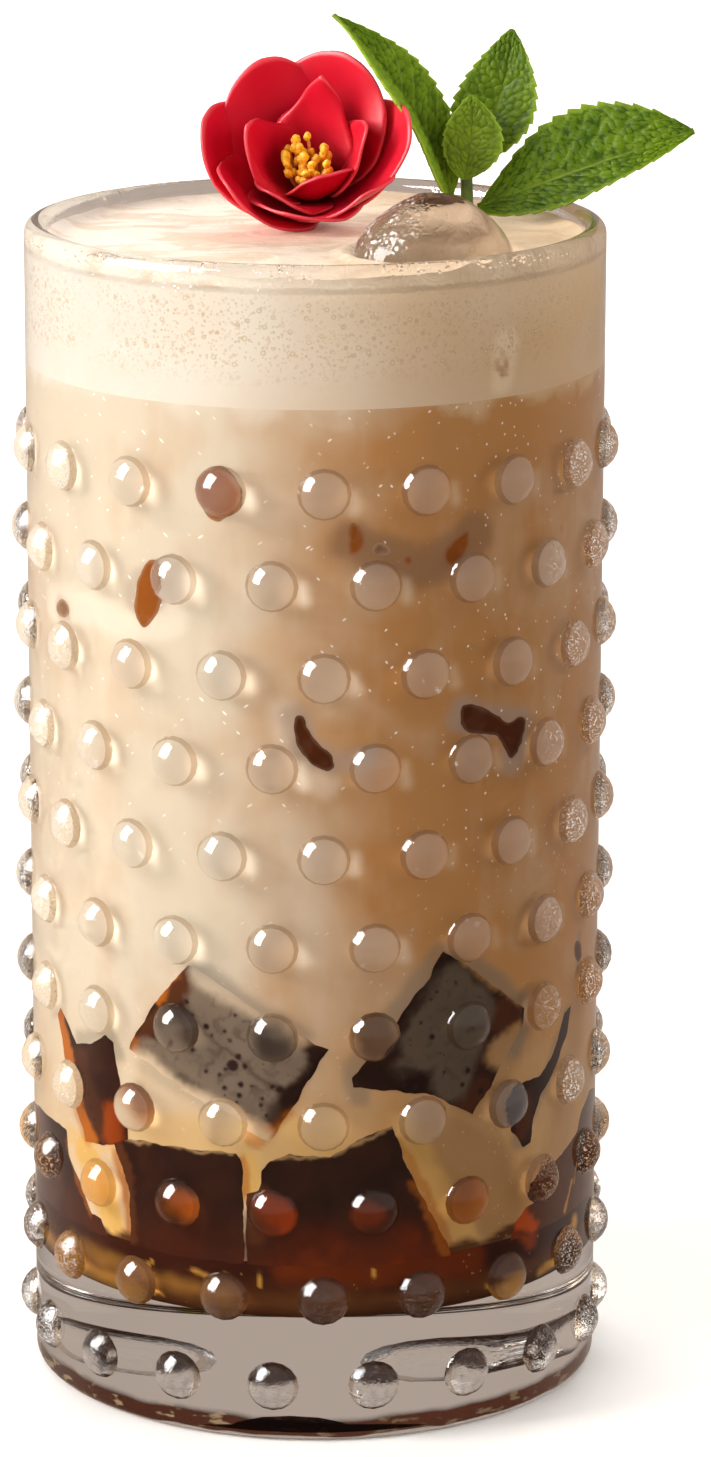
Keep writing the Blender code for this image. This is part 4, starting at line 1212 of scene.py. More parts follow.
class CHAI_OT_jelly(bpy.types.Operator):
    """Set the dark jelly cubes against the glass"""

    bl_idname = "chai.jelly"
    bl_label = "Jelly Cubes"

    def execute(self, context):
        settings = context.scene.chai_drink
        finish = jelly_finish(settings)
        cubes = dict(CUBES)
        cubes.update({name: back_cube(*shape) for name, shape in BACK_CUBES.items()})
        for name, cube in cubes.items():
            step = FINE_STEP if name in CUBES else COARSE_STEP
            bm, _ = wall_block(cube["outline"], cube["depth"], step)
            piece = piece_from(bm, f"cube_{name}", [finish], sharp=50)
            stain(piece, cube["stains"], [*JELLY_TINTS, "veil"], coarse=0.55, fine=0.3)
            places = wall_places(piece.data, coarse=0.12, fine=0.08)
            store(piece.data, "pit", pit_values(places, cube["pits"]))
            dress(piece, "dark_jelly", f"jelly_{name}")
        return {"FINISHED"}


# ---------------------------------------------------------------- foam and ice

# The block is a squarish rounded form: the power of its curve, half its sizes, middle and turn
ICE_POWER = 2.6
ICE_HALF = Vector((9.95, 8.0, 10.5)) * MM
ICE_MIDDLE = Vector((14.5, -11.5, 141.5)) * MM
ICE_TURN = 12.0
CLEAR_ICE = (0.95, 0.91, 0.88)
WELL_DEPTH = 9.0 * MM
# How finely the foam is divided: rings on its top, rows down its side and steps round it
FOAM_RINGS = 60
FOAM_ROWS = 44
FOAM_STEPS = 320
# Melted foam that stands round the ice, and the room kept for the ripples on top
FOAM_COLLAR = 0.5 * MM
FOAM_ROOM = 0.4 * MM


def ice_share(point):
    """How far a point lies from the ice block's axis, 1 at its side."""
    local = Matrix.Rotation(math.radians(-ICE_TURN), 3, "Z") @ (point - ICE_MIDDLE)
    across, deep = abs(local.x / ICE_HALF.x), abs(local.y / ICE_HALF.y)
    return (across**ICE_POWER + deep**ICE_POWER) ** (1 / ICE_POWER)


# A thin place in the foam, with a streak of tea in it.
FOAM_STAINS = (
    ("thin", 1.5, 1.9, 1.5, 0.6, ((40.6, 131.4), (41.8, 136.0))),
    ("tea", 0.42, 0.28, 0.4, 0.9, ((41.0, 132.2), (41.4, 133.6), (40.9, 135.2))),
    ("tea", 0.25, 0.2, 0.3, 0.6, ((39.4, 133.0), (39.8, 134.4))),
)
FOAM_TINTS = {"thin": (0.90, 0.76, 0.54), "tea": (0.46, 0.22, 0.08)}


# Bubbles: size of the cells, and where the ring round each starts and ends, as shares of it
BUBBLES = ((1.35 * MM, 0.16, 0.30), (0.8 * MM, 0.16, 0.30), (0.5 * MM, 0.18, 0.32))
BUBBLE_RING = (0.56, 0.41, 0.24)
BUBBLE_CORE = (0.80, 0.66, 0.48)
PETAL_JUICE = (0.86, 0.46, 0.36)
JUICE_PLACE = (-4.0 * MM, 1.5 * MM, 144.5 * MM)
TEA_ROUND_ICE = (0.19, 0.095, 0.045)
FOAM_TOP_PAINTED_SHADE = (0.72, 0.62, 0.50)
TEA_SWIRL = (0.60, 0.44, 0.30)


def foam_bubbles(finish, colour, height):
    """Bubbles along the glass in the middle of the layer."""
    where = finish.band(height, *mm(131, 136, 141.5, 144.4))
    where = finish.times(where, finish.patches(12 * MM, 0.32, 0.50, detail=2.0))
    warped = finish.warp(2 * MM, 0.3 * MM)
    for size, inner, outer in BUBBLES:
        distance = finish.cells(size, source=warped)
        ring = finish.band(distance, inner * 0.7, inner, inner, outer)
        core = finish.ramp(distance, inner, inner * 0.5)
        colour = finish.mix(finish.times(ring, where, 0.75), colour, BUBBLE_RING)
        colour = finish.mix(finish.times(core, where, 0.5), colour, BUBBLE_CORE)
    return colour


def petal_juice(finish, colour):
    """Juice that the flower leaves on the top of the foam."""
    away = finish.nodes.new("ShaderNodeVectorMath")
    away.operation = "DISTANCE"
    finish.links.new(finish.scaled((0.6, 1.0, 1.0), source=finish.warp(4 * MM, 5 * MM)), away.inputs[0])
    away.inputs[1].default_value = JUICE_PLACE
    pink = finish.ramp(away.outputs["Value"], 10 * MM, 3 * MM)
    return finish.mix(finish.times(pink, 0.45), colour, PETAL_JUICE)


def foam_finish(settings):
    finish = Finish("milk foam")
    height = finish.axis("Z")
    colour = stained(finish, foam_tone(finish, settings), FOAM_TINTS)
    colour = foam_bubbles(finish, colour, height)
    colour = petal_juice(finish, colour)
    # the tea that shows down the sides of the ice
    colour = finish.mix(finish.attribute("well"), colour, TEA_ROUND_ICE)
    # the top lies open to the light, so it gets a little painted shade to darken it, with swirls of tea
    top = finish.ramp(height, 143.2 * MM, 144.2 * MM)
    colour = finish.mix(finish.times(top, 0.3), colour, FOAM_TOP_PAINTED_SHADE)
    drawn_out = finish.scaled((0.7, 1.2, 1.0))
    swirl = finish.patches(9 * MM, 0.48, 0.62, detail=4.0, warp=1.6, source=drawn_out)
    colour = finish.mix(finish.times(swirl, top, 0.55), colour, TEA_SWIRL)
    finish.set("Base Color", colour)
    finish.set("Roughness", 0.6)
    finish.set("Specular IOR Level", 0.2)
    finish.bump(finish.cells(0.7 * MM), 0.06 * MM, 0.5)
    ripples = finish.noise(3 * MM, detail=5.0, rough=0.65, warp=0.8, source=drawn_out)
    finish.bump(finish.times(ripples, top), 0.7 * MM, 0.8)
    return finish


def foam_height(place, top):
    """Height of the foam's top: ripples, a climb at the glass and a mound under the flower."""
    reach = math.hypot(place.x, place.y) / DRINK_RADIUS
    ripple = 0.35 * noise.noise(Vector((place.x / (14 * MM), place.y / (6 * MM), 0.0)))
    fine = 0.12 * noise.noise(place / (3 * MM))
    climb = 0.8 * max(0.0, (reach - 0.9) / 0.1) ** 2
    from_flower = ((place.x + 1 * MM) / (9 * MM)) ** 2 + ((place.y - 7 * MM) / (8 * MM)) ** 2
    mound = 0.5 * math.exp(-from_flower)
    return top + (ripple + fine + climb + mound) * MM


class CHAI_OT_foam(bpy.types.Operator):
    """Spoon on the milk foam, with a well round the ice"""

    bl_idname = "chai.foam"
    bl_label = "Foam"

    def execute(self, context):
        settings = context.scene.chai_drink
        top = FOAM_HIGH.z - FOAM_ROOM
        low = FOAM_LINE
        profile = [(DRINK_RADIUS * ring / FOAM_RINGS, top) for ring in range(FOAM_RINGS + 1)]
        for row in range(1, FOAM_ROWS + 1):
            profile.append((DRINK_RADIUS, top + (low - top) * row / FOAM_ROWS))
        profile.append((0.0, low))
        bm = turned(profile, FOAM_STEPS)
        well = []
        for vert in bm.verts:
            inside = 0.0
            if vert.co.z > top - 0.1 * MM:
                vert.co.z = foam_height(vert.co, top)
                share = ice_share(vert.co)
                inside = min(1.0, max(0.0, (1.0 - share) / 0.1))
                vert.co.z -= inside * WELL_DEPTH
                vert.co.z += FOAM_COLLAR * math.exp(-(((share - 1.12) / 0.1) ** 2))
            well.append(inside)
        foam = piece_from(bm, "milk_foam_head", [foam_finish(settings)], sharp=70)
        store(foam.data, "well", well)
        stain(foam, FOAM_STAINS, FOAM_TINTS, coarse=0.3, fine=0.2)
        dress(foam, "milk_foam", "foam")
        return {"FINISHED"}


def ice_finish():
    finish = Finish("clear ice")
    finish.set("Base Color", CLEAR_ICE)
    finish.set("IOR", 1.31)
    frost = finish.patches(5 * MM, 0.42, 0.56, detail=2.0)
    frost = finish.times(frost, finish.ramp(finish.axis("X"), 16 * MM, 9 * MM))
    crust = finish.times(finish.ramp(finish.cells(0.8 * MM), 0.55, 0.15), frost)
    finish.set("Transmission Weight", finish.ramp(crust, 0.2, 0.9, 1.0, 0.35))
    finish.set("Roughness", finish.ramp(frost, 0.0, 1.0, 0.02, 0.28))
    finish.bump(finish.times(finish.cells(0.55 * MM), frost), 0.25 * MM, 0.8)
    finish.bump(finish.noise(6 * MM, detail=2.0), 0.2 * MM, 0.5)
    return finish


class CHAI_OT_ice(bpy.types.Operator):
    """Float the ice cube that stands out of the foam"""

    bl_idname = "chai.ice"
    bl_label = "Ice Cube"

    def execute(self, context):
        bm = bmesh.new()
        bmesh.ops.create_icosphere(bm, subdivisions=6, radius=1.0)
        turn = Matrix.Rotation(math.radians(ICE_TURN), 3, "Z")
        for vert in bm.verts:
            unit = vert.co.copy()
            reach = sum(abs(unit[axis]) ** ICE_POWER for axis in range(3)) ** (-1 / ICE_POWER)
            bulge = 1 + 0.03 * noise.noise(unit * 1.7) + 0.006 * noise.noise(unit * 6)
            place = Vector([unit[axis] * ICE_HALF[axis] * reach * bulge for axis in range(3)])
            # melted to a blunt peak
            narrow = 1 - 0.42 * max(0.0, place.z / ICE_HALF.z) ** 3
            place.x = place.x * narrow - 0.6 * MM * (1 - narrow)
            place.y *= narrow
            vert.co = ICE_MIDDLE + turn @ place
        ice = piece_from(bm, "ice_block", [ice_finish()])
        dress(ice, "ice", "ice_cube")
        return {"FINISHED"}


# ---------------------------------------------------------------- camellia

FLOWER_BASE = Vector((-0.5, 13.2, 148.7)) * MM
FLOWER_TILT = 45.0
FLOWER_TURN = -5.0
FLOWER_SIZE = 1.16
PETAL_THICK = 0.34 * MM
PETAL_CUTS = 22
PETAL_HEART = (0.16, 0.0015, 0.006)
PETAL_FLUSH = (0.60, 0.008, 0.028)
POLLEN_DEEP = (0.86, 0.40, 0.01)
FILAMENT_PALE = (0.85, 0.36, 0.14)
STAMENS = 46
# Petals: azimuth about the flower's axis with 0 at its lower side, length, half width, how far each
# leans out at its root and at its tip, its skew and how pointed it is.
PETALS = (
    (-150.0, 14.6, 7.6, 68.0, 16.0, 0.5, 0.15),
    (158.0, 15.0, 8.2, 66.0, 14.0, 0.5, 0.1),
    (98.0, 14.6, 7.4, 74.0, 18.0, 0.5, 0.1),
    (45.0, 13.6, 6.8, 74.0, 14.0, 0.5, 0.3),
    (-8.0, 12.8, 6.8, 74.0, 14.0, 0.5, 0.1),
    (-52.0, 13.8, 6.6, 74.0, 16.0, 0.5, 0.2),
    (-100.0, 14.4, 7.2, 74.0, 20.0, 0.5, 0.15),
    (-92.0, 11.6, 5.8, 52.0, 2.0, 0.35, 0.6),
    (168.0, 11.8, 4.8, 50.0, 6.0, 0.35, 0.9),
    (100.0, 11.0, 4.2, 58.0, 0.0, 0.35, 0.2),
    (28.0, 9.2, 4.3, 60.0, -14.0, 0.35, 0.0),
    (-30.0, 9.0, 4.6, 64.0, 16.0, 0.35, 0.1),
)


def flower_frame():
    """Carries the flower, modelled upright at the origin, to its place on the foam."""
    lean = Matrix.Rotation(math.radians(90.0 - FLOWER_TILT), 4, "X")
    turn = Matrix.Rotation(math.radians(FLOWER_TURN), 4, "Z")
    return Matrix.Translation(FLOWER_BASE) @ turn @ lean @ Matrix.Scale(FLOWER_SIZE, 4)


def petal_point(across, along, azimuth, length, half_width, lean_root, lean_tip, skew, point):
    """A place on a petal: it climbs from the flower's centre, wraps round the axis and ends round."""
    steps = 16
    reach = along * (1 - 0.24 * abs(across) ** 2.2 * along + point * (0.14 - 0.3 * abs(across)) * along**3)
    radius = 0.8
    height = 0.0
    for step in range(steps):
        share = reach * (step + 0.5) / steps
        lean = math.radians(lean_root + (lean_tip - lean_root) * share)
        radius += math.sin(lean) * length * reach / steps
        height += math.cos(lean) * length * reach / steps
    spread = 0.22 + 0.78 * math.sin(math.pi / 2 * min(1.0, along / 0.62))
    width = half_width * spread * (1 - (0.2 + 0.3 * point) * max(0.0, along - 0.62) / 0.38)
    angle = math.radians(azimuth) + across * width / max(radius, 3.2)
    radius += skew * across * min(1.0, 2 * along) + 0.5 * across**2 * along
    # a soft roll of the rim and a shallow wave across the blade
    rim = max(abs(across), along) ** 8
    wave = noise.noise(Vector((across * 1.3, along * 1.5, azimuth)))
    radius += 0.45 * rim + 0.5 * wave * along
    height += 0.35 * noise.noise(Vector((across * 2.2, along * 2.0, azimuth + 9))) * along
    return Vector((math.sin(angle) * radius, -math.cos(angle) * radius, height)) * MM


def petal_finish(settings):
    finish = Finish("camellia petal")
    along = finish.attribute("along")
    rim = finish.ramp(finish.larger(along, finish.attribute("across")), 0.955, 1.0)
    colour = finish.mix(finish.ramp(along, 0.0, 0.75), PETAL_HEART, settings.petal)
    colour = finish.mix(finish.patches(5 * MM, 0.35, 0.75, 0.0, 0.35), colour, PETAL_FLUSH)
    colour = finish.mix(finish.times(rim, 0.4), colour, settings.petal_edge)
    finish.set("Base Color", colour)
    finish.set("Roughness", 0.42)
    finish.set("Specular IOR Level", 0.2)
    finish.set("Subsurface Weight", 0.12)
    finish.shader.inputs["Subsurface Radius"].default_value = (1.6, 0.25, 0.2)
    finish.shader.inputs["Subsurface Scale"].default_value = 0.8 * MM
    finish.bump(finish.noise(0.6 * MM, detail=2.0), 0.03 * MM, 0.5)
    return finish


class CHAI_OT_camellia(bpy.types.Operator):
    """Open the red camellia on the foam"""

    bl_idname = "chai.camellia"
    bl_label = "Camellia"

    def execute(self, context):
        settings = context.scene.chai_garnish
        self.petals(petal_finish(settings))
        self.stamens(settings)
        return {"FINISHED"}

    def petals(self, finish):
        bm = bmesh.new()
        along_values, across_values = [], []
        for shape in PETALS:
            start = len(bm.verts)
            bmesh.ops.create_grid(bm, x_segments=PETAL_CUTS, y_segments=PETAL_CUTS, size=1.0)
            bm.verts.ensure_lookup_table()
            for vert in bm.verts[start:]:
                across, along = vert.co.x, (vert.co.y + 1) / 2
                along_values.append(along)
                across_values.append(abs(across))
                vert.co = petal_point(across, along, *shape)
        bmesh.ops.transform(bm, matrix=flower_frame(), verts=bm.verts)
        petals = piece_from(bm, "camellia_petals", [finish], solid=False)
        store(petals.data, "along", along_values)
        store(petals.data, "across", across_values)
        solid = petals.modifiers.new("thickness", "SOLIDIFY")
        solid.thickness = PETAL_THICK
        solid.offset = 0.0
        dress(petals, "red_petal", "flower_petals")

    def stamens(self, settings):
        pollen = Finish("pollen")
        pollen.set("Base Color", pollen.mix(pollen.patches(0.5 * MM), settings.anther, POLLEN_DEEP))
        pollen.set("Roughness", 0.7)
        stalk = Finish("filament")
        stalk.set("Base Color", stalk.mix(stalk.patches(1.5 * MM), settings.filament, FILAMENT_PALE))
        stalk.set("Roughness", 0.45)
        chance = random.Random(5)
        bm = bmesh.new()
        for _ in range(STAMENS):
            angle = chance.uniform(0.0, 2 * math.pi)
            spread = chance.uniform(0.05, 1.0) ** 0.5
            out = Vector((math.sin(angle), -math.cos(angle), 0.0))
            aside = Vector((out.y, -out.x, 0.0)) * chance.uniform(-0.5, 0.5)
            start = out * 1.6 * spread + Vector((0, 0, 0.9))
            end = out * 2.7 * spread + aside + Vector((0, 0, chance.uniform(4.6, 7.0) - 0.9 * spread))
            self.stamen(bm, start * MM, end * MM, chance)
        bmesh.ops.transform(bm, matrix=flower_frame(), verts=bm.verts)
        stamens = piece_from(bm, "camellia_stamens", [stalk, pollen], sharp=60)
        dress(stamens, "yellow_anther", "flower_stamens")

    def stamen(self, bm, start, end, chance):
        along = end - start
        turn = along.to_track_quat("Z", "Y").to_matrix().to_4x4()
        bmesh.ops.create_cone(
            bm, cap_ends=True, segments=8, radius1=0.26 * MM, radius2=0.17 * MM, depth=along.length,
            matrix=Matrix.Translation((start + end) / 2) @ turn,
        )
        first = len(bm.faces)
        size = chance.uniform(0.42, 0.56) * MM
        stretch = Matrix.Diagonal((1.0, 0.8, 1.35, 1.0))
        grain = bmesh.ops.create_icosphere(
            bm, subdivisions=3, radius=size, matrix=Matrix.Translation(end) @ turn @ stretch
        )
        for vert in grain["verts"]:
            vert.co += (vert.co - end).normalized() * 0.12 * MM * noise.noise(vert.co / (0.3 * MM))
        bm.faces.ensure_lookup_table()
        for face in bm.faces[first:]:
            face.material_index = 1


# ---------------------------------------------------------------- mint

STEM_FOOT = Vector((19.6, 14.0, 138.0)) * MM
STEM_TOP = Vector((19.0, 14.6, 150.5)) * MM
STEM_RADIUS = 0.95 * MM
# Leaves, in millimetres and degrees: base and tip of the midrib, the way the upper face looks, half
# width and swell of the blade on each side, fold along the midrib, its bow sideways and out of the
# face, how many waves run along the edge, side veins, teeth and how puffed the blade is.
LEAVES = {
    "left": {
        "base": (16.9, 13.9, 147.2), "tip": (2.1, 12.0, 170.6), "face": (0.75, -0.62, 0.15),
        "left": (5.4, 0.75), "right": (4.8, 0.8), "fold": 32.0, "bow": 1.6, "arch": 1.2, "waves": 12,
        "curl": 1.0, "veins": 9, "teeth": 15, "puff": 0.5, "pale": 0.12,
    },
    "upright": {
        "base": (19.2, 15.4, 151.1), "tip": (24.8, 18.6, 168.0), "face": (-0.15, -0.95, 0.28),
        "left": (5.6, 0.8), "right": (5.6, 0.9), "fold": 16.0, "bow": 1.0, "arch": -0.6, "waves": 10,
        "curl": 0.0, "veins": 8, "teeth": 12, "puff": 0.5, "pale": 0.1,
    },
    "young": {
        "base": (18.6, 12.9, 149.8), "tip": (19.6, 12.6, 160.6), "face": (0.0, -0.97, 0.2),
        "left": (3.8, 0.9), "right": (4.4, 0.9), "fold": 14.0, "bow": 0.4, "arch": -0.4, "waves": 7,
        "curl": 0.0, "veins": 5, "teeth": 8, "puff": 0.4, "pale": 0.28,
    },
    "right": {
        "base": (20.5, 13.6, 146.2), "tip": (47.6, 14.0, 155.7), "face": (-0.12, -0.8, 0.58),
        "left": (8.2, 1.15), "right": (4.6, 0.7), "fold": 12.0, "bow": 0.2, "arch": 0.9, "waves": 13,
        "curl": 0.0, "veins": 9, "teeth": 14, "puff": 0.55, "pale": 0.0,
    },
}
LEAF_THICK = 0.3 * MM
TOOTH = 0.085
EDGE_WAVE = 0.25
PAD_SIZE = 1.05
LEAF_CUTS = (48, 110)
LEAF_BRIGHT = (0.115, 0.195, 0.006)
LEAF_CREASE_SHADE = (0.010, 0.034, 0.002)
LEAF_RIM = (0.26, 0.38, 0.035)
STALK_TONES = ((0.035, 0.05, 0.012), (0.10, 0.15, 0.02))


def vein_strength(across, along, leaf):
    """1 on the midrib and the side veins, falling to 0 between them."""
    midrib = math.exp(-((abs(across) / (0.035 + 0.03 * (1 - along))) ** 2))
    phase = (along - 0.30 * abs(across) ** 0.85) * leaf["veins"] + (0.5 if across > 0 else 0.0)
    nearest = abs(phase - round(phase))
    side = math.exp(-((nearest / 0.075) ** 2)) * (1 - 0.4 * abs(across)) * min(1.0, 8 * abs(across))
    return max(midrib, 0.75 * side)


def quilt(across, along, leaf):
    """0 in the creases between the small pads of the blade, rising to 1 on the pads."""
    widest = (leaf["right"] if across > 0 else leaf["left"])[0]
    length = (Vector(leaf["tip"]) - Vector(leaf["base"])).length
    place = Vector((across * widest, (along - 0.12 * abs(across)) * length, leaf["veins"]))
    nearest = noise.voronoi(place / PAD_SIZE)[0]
    return min(1.0, (nearest[1] - nearest[0]) / 0.42)


def leaf_point(across, along, leaf):
    """A place on a leaf, in millimetres: across runs from -1 to 1 and along from 0 to 1."""
    base = Vector(leaf["base"])
    axis = Vector(leaf["tip"]) - base
    forward = axis.normalized()
    side = forward.cross(Vector(leaf["face"])).normalized()
    up = side.cross(forward).normalized()
    widest, swell = leaf["right"] if across > 0 else leaf["left"]
    half = widest * max(0.06, math.sin(math.pi * along**swell) ** 0.8)
    saw = (along * leaf["teeth"]) % 1.0
    half *= 1 - TOOTH * saw * abs(across) ** 3 * min(1.0, 6 * along)
    fold = math.radians(leaf["fold"])
    hump = 4 * along * (1 - along)
    wave = EDGE_WAVE * math.sin(along * leaf["waves"]) * across
    vein = vein_strength(across, along, leaf)
    pad = quilt(across, along, leaf)
    puff = leaf["puff"] * ((1 - vein) * (0.35 + 0.65 * pad) - 0.3) * min(1.0, 4 * (1 - abs(across)))
    sideways_move = across * half * math.cos(fold) + leaf["bow"] * hump
    upward_move = abs(across) * half * math.sin(fold) + leaf["arch"] * hump + wave
    upward_move += puff * min(1.0, 5 * along)
    return base + axis * along + side * sideways_move + up * upward_move


def mint_finish(settings):
    finish = Finish("mint leaf")
    colour = finish.mix(finish.patches(4 * MM), settings.leaf, LEAF_BRIGHT)
    # painted shade in the creases between the pads
    crease_shade = finish.ramp(finish.attribute("pad"), 0.55, 0.0, 0.0, 0.8)
    colour = finish.mix(crease_shade, colour, LEAF_CREASE_SHADE)
    colour = finish.mix(finish.attribute("pale"), colour, LEAF_RIM)
    colour = finish.mix(finish.times(finish.attribute("vein"), 0.55), colour, settings.vein)
    finish.set("Base Color", colour)
    finish.set("Roughness", 0.5)
    finish.set("Specular IOR Level", 0.06)
    finish.set("Subsurface Weight", 0.1)
    finish.shader.inputs["Subsurface Radius"].default_value = (0.4, 0.8, 0.1)
    finish.shader.inputs["Subsurface Scale"].default_value = 0.8 * MM
    finish.bump(finish.noise(0.5 * MM), 0.06 * MM, 0.6)
    return finish


class CHAI_OT_mint(bpy.types.Operator):
    """Tuck the mint sprig in behind the ice"""

    bl_idname = "chai.mint"
    bl_label = "Mint"

    def execute(self, context):
        settings = context.scene.chai_garnish
        finish = mint_finish(settings)
        for name, leaf in LEAVES.items():
            self.leaf(name, leaf, finish)
        self.stem()
        return {"FINISHED"}

    def leaf(self, name, leaf, finish):
        bm = bmesh.new()
        bmesh.ops.create_grid(bm, x_segments=LEAF_CUTS[0], y_segments=LEAF_CUTS[1], size=1.0)
        veins, pales, pads = [], [], []
        for vert in bm.verts:
            across, along = vert.co.x, (vert.co.y + 1) / 2
            veins.append(vein_strength(across, along, leaf))
            pads.append(quilt(across, along, leaf))
            rim = max(0.0, (abs(across) - 0.86) / 0.14)
            pales.append(min(1.0, leaf["pale"] + 0.6 * rim + 0.35 * leaf["curl"] * max(0.0, -across)))
            vert.co = leaf_point(across, along, leaf) * MM
        piece = piece_from(bm, f"mint_{name}", [finish], solid=False)
        store(piece.data, "vein", veins)
        store(piece.data, "pale", pales)
        store(piece.data, "pad", pads)
        solid = piece.modifiers.new("thickness", "SOLIDIFY")
        solid.thickness = LEAF_THICK
        solid.offset = 0.0
        dress(piece, "mint_green", f"mint_leaf_{name}")

    def stem(self):
        stalk = Finish("mint stalk")
        stalk.set("Base Color", stalk.mix(stalk.patches(3 * MM), *STALK_TONES))
        stalk.set("Roughness", 0.45)
        along = STEM_TOP - STEM_FOOT
        turn = along.to_track_quat("Z", "Y").to_matrix().to_4x4()
        bm = bmesh.new()
        bmesh.ops.create_cone(
            bm, cap_ends=True, segments=24, radius1=STEM_RADIUS, radius2=STEM_RADIUS * 0.85,
            depth=along.length, matrix=Matrix.Translation((STEM_TOP + STEM_FOOT) / 2) @ turn,
        )
        sides = [edge for edge in bm.edges if abs(edge.calc_length() - along.length) < MM]
        bmesh.ops.subdivide_edges(bm, edges=sides, cuts=14, use_grid_fill=True)
        for vert in bm.verts:
            vert.co += 0.25 * MM * noise.noise_vector(vert.co / (2.5 * MM))
        stem = piece_from(bm, "mint_stalk", [stalk], sharp=50)
        dress(stem, "mint_stalk", "mint_stem")


# ---------------------------------------------------------------- stage

CAMERA_PLACE = Vector((0.0, -0.69319, 0.25809))
CAMERA_PITCH = 14.2556
CAMERA_YAW = -0.4223
CAMERA_ROLL = 0.1354
CAMERA_LENS = 139.83
FILL_TINT = (1.0, 0.965, 0.925)
FLOOR_TONES = ((0.90, 0.895, 0.885), (0.93, 0.925, 0.915))
# The studio's soft surroundings: their colour low down, then what mixes in along an axis
SKY_BELOW = (0.07, 0.065, 0.062)
SKY_STEPS = (
    ("Z", -0.12, 0.12, (0.50, 0.465, 0.44)),
    ("Y", -0.1, 0.5, (0.46, 0.375, 0.32)),
)


def area_light(name, azimuth, elevation, distance, size, watts, tint, target=(0, 0, 0.08), seen=True):
    """A soft lamp that looks at the target; seen says whether it shows in reflections."""
    light = bpy.data.lights.new(name, "AREA")
    light.shape = "RECTANGLE"
    light.size, light.size_y = size
    light.energy = watts
    light.color = tint
    lamp = bpy.data.objects.new(name, light)
    rise = math.radians(elevation)
    away = outwards(azimuth) * math.cos(rise) * distance + Vector((0, 0, math.sin(rise) * distance))
    place = Vector(target) + away
    look = (Vector(target) - place).to_track_quat("-Z", "Y").to_matrix().to_4x4()
    lamp.matrix_world = Matrix.Translation(place) @ look
    bpy.context.scene.collection.objects.link(lamp)
    lamp.visible_glossy = seen
    return lamp


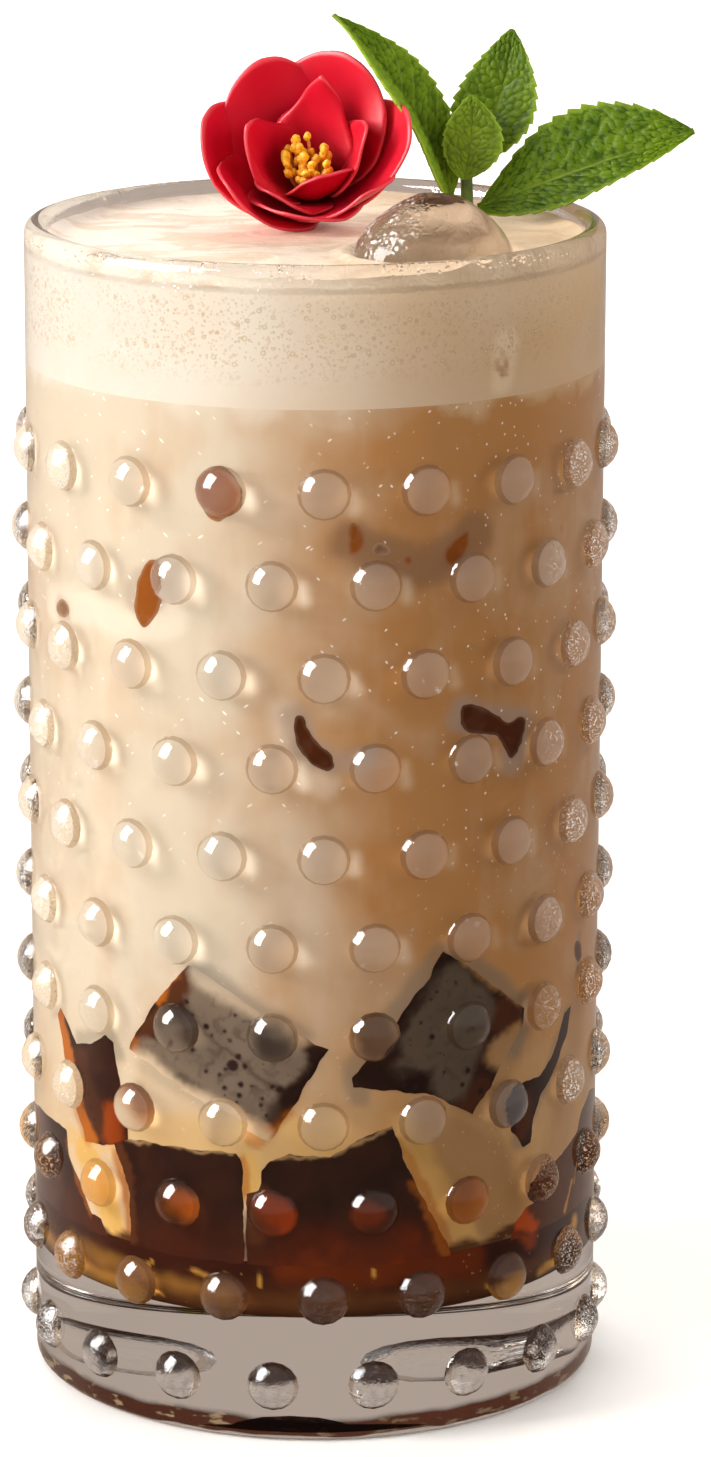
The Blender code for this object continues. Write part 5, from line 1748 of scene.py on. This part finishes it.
class CHAI_OT_stage(bpy.types.Operator):
    """Set the pale floor, the soft lights and the camera"""

    bl_idname = "chai.stage"
    bl_label = "Stage"

    def execute(self, context):
        scene = context.scene
        self.floor()
        self.sky(scene)
        self.lights()
        self.camera(scene)
        scene.view_settings.view_transform = "Standard"
        scene.view_settings.look = "None"
        scene.cycles.max_bounces = 16
        scene.cycles.transmission_bounces = 12
        scene.cycles.glossy_bounces = 6
        scene.cycles.diffuse_bounces = 4
        scene.cycles.sample_clamp_indirect = 8.0
        return {"FINISHED"}

    def lights(self):
        window = area_light("window", -72, 27, 0.8, (0.30, 0.46), 5.5, (1.0, 0.97, 0.93), seen=False)
        window.data.cycles.is_caustics_light = True
        # the same window as the glass shows it
        gleam = area_light("window_gleam", -72, 30, 0.78, (0.50, 0.64), 34.0, (1.0, 0.98, 0.96))
        gleam.visible_diffuse = False
        gleam.visible_transmission = False
        area_light("fill_left", -54, 14, 1.3, (1.2, 1.2), 15.5, FILL_TINT, seen=False)
        area_light("fill_right", 74, 16, 1.3, (1.2, 1.2), 15.0, FILL_TINT, seen=False)
        back = area_light(
            "back_floor", 180, 50, 1.6, (2.4, 1.6), 60.0, (1.0, 0.99, 0.98), target=(0, 0.9, 0.0), seen=False
        )
        back.visible_transmission = False

    def floor(self):
        bm = bmesh.new()
        bmesh.ops.create_circle(
            bm, cap_ends=True, segments=96, radius=60.0, matrix=Matrix.Translation((0, 0, -0.1 * MM))
        )
        finish = Finish("pale floor")
        finish.set("Base Color", finish.mix(finish.noise(0.5), *FLOOR_TONES))
        finish.set("Roughness", 0.8)
        finish.set("Specular IOR Level", 0.1)
        floor = piece_from(bm, "floor", [finish])
        # left out of reflections and of what shows through the glass, so that the dark jelly and the
        # thick base stay clear
        floor.visible_glossy = False
        floor.visible_transmission = False

    def sky(self, scene):
        world = bpy.data.worlds.new("studio")
        world.use_nodes = True
        tree = world.node_tree
        background = tree.nodes["Background"]
        direction = tree.nodes.new("ShaderNodeTexCoord").outputs["Generated"]
        parts = tree.nodes.new("ShaderNodeSeparateXYZ")
        tree.links.new(direction, parts.inputs[0])
        colour = SKY_BELOW
        for axis, low, high, tint in SKY_STEPS:
            share = tree.nodes.new("ShaderNodeMapRange")
            share.interpolation_type = "SMOOTHSTEP"
            tree.links.new(parts.outputs[axis], share.inputs["Value"])
            share.inputs["From Min"].default_value = low
            share.inputs["From Max"].default_value = high
            mix = tree.nodes.new("ShaderNodeMix")
            mix.data_type = "RGBA"
            tree.links.new(share.outputs["Result"], mix.inputs["Factor"])
            if isinstance(colour, tuple):
                mix.inputs[6].default_value = (*colour, 1.0)
            else:
                tree.links.new(colour, mix.inputs[6])
            mix.inputs[7].default_value = (*tint, 1.0)
            colour = mix.outputs[2]
        tree.links.new(colour, background.inputs["Color"])
        scene.world = world

    def camera(self, scene):
        data = bpy.data.cameras.new("camera")
        data.lens = CAMERA_LENS
        data.sensor_width = 36.0
        data.clip_start = 0.01
        camera = bpy.data.objects.new("camera", data)
        aim = Matrix.Rotation(math.radians(CAMERA_YAW), 4, "Z")
        aim @= Matrix.Rotation(math.radians(90 - CAMERA_PITCH), 4, "X")
        aim @= Matrix.Rotation(math.radians(CAMERA_ROLL), 4, "Z")
        camera.matrix_world = Matrix.Translation(CAMERA_PLACE) @ aim
        scene.collection.objects.link(camera)
        scene.camera = camera


class CHAI_PT_panel(bpy.types.Panel):
    bl_label = "Iced Chai Latte"
    bl_idname = "CHAI_PT_panel"
    bl_space_type = "VIEW_3D"
    bl_region_type = "UI"
    bl_category = "Drink"

    def draw(self, context):
        for operator in OPERATORS:
            self.layout.operator(operator.bl_idname)
        for group in ("chai_glass", "chai_drink", "chai_garnish"):
            settings = getattr(context.scene, group)
            for name in settings.__annotations__:
                self.layout.prop(settings, name)


SETTINGS = {
    "chai_glass": ChaiGlassSettings,
    "chai_drink": ChaiDrinkSettings,
    "chai_garnish": ChaiGarnishSettings,
}
OPERATORS = (
    CHAI_OT_stage,
    CHAI_OT_glass,
    CHAI_OT_syrup,
    CHAI_OT_jelly,
    CHAI_OT_latte,
    CHAI_OT_sunken_ice,
    CHAI_OT_foam,
    CHAI_OT_ice,
    CHAI_OT_camellia,
    CHAI_OT_mint,
)


def register():
    noise.seed_set(NOISE_SEED)
    for group in SETTINGS.values():
        bpy.utils.register_class(group)
    for name, group in SETTINGS.items():
        setattr(bpy.types.Scene, name, PointerProperty(type=group))
    for operator in OPERATORS:
        bpy.utils.register_class(operator)
    bpy.utils.register_class(CHAI_PT_panel)


def unregister():
    bpy.utils.unregister_class(CHAI_PT_panel)
    for operator in reversed(OPERATORS):
        bpy.utils.unregister_class(operator)
    for name, group in SETTINGS.items():
        delattr(bpy.types.Scene, name)
        bpy.utils.unregister_class(group)


def main():
    register()
    for operator in OPERATORS:
        group, name = operator.bl_idname.split(".")
        getattr(getattr(bpy.ops, group), name)()


if __name__ == "__main__":
    main()
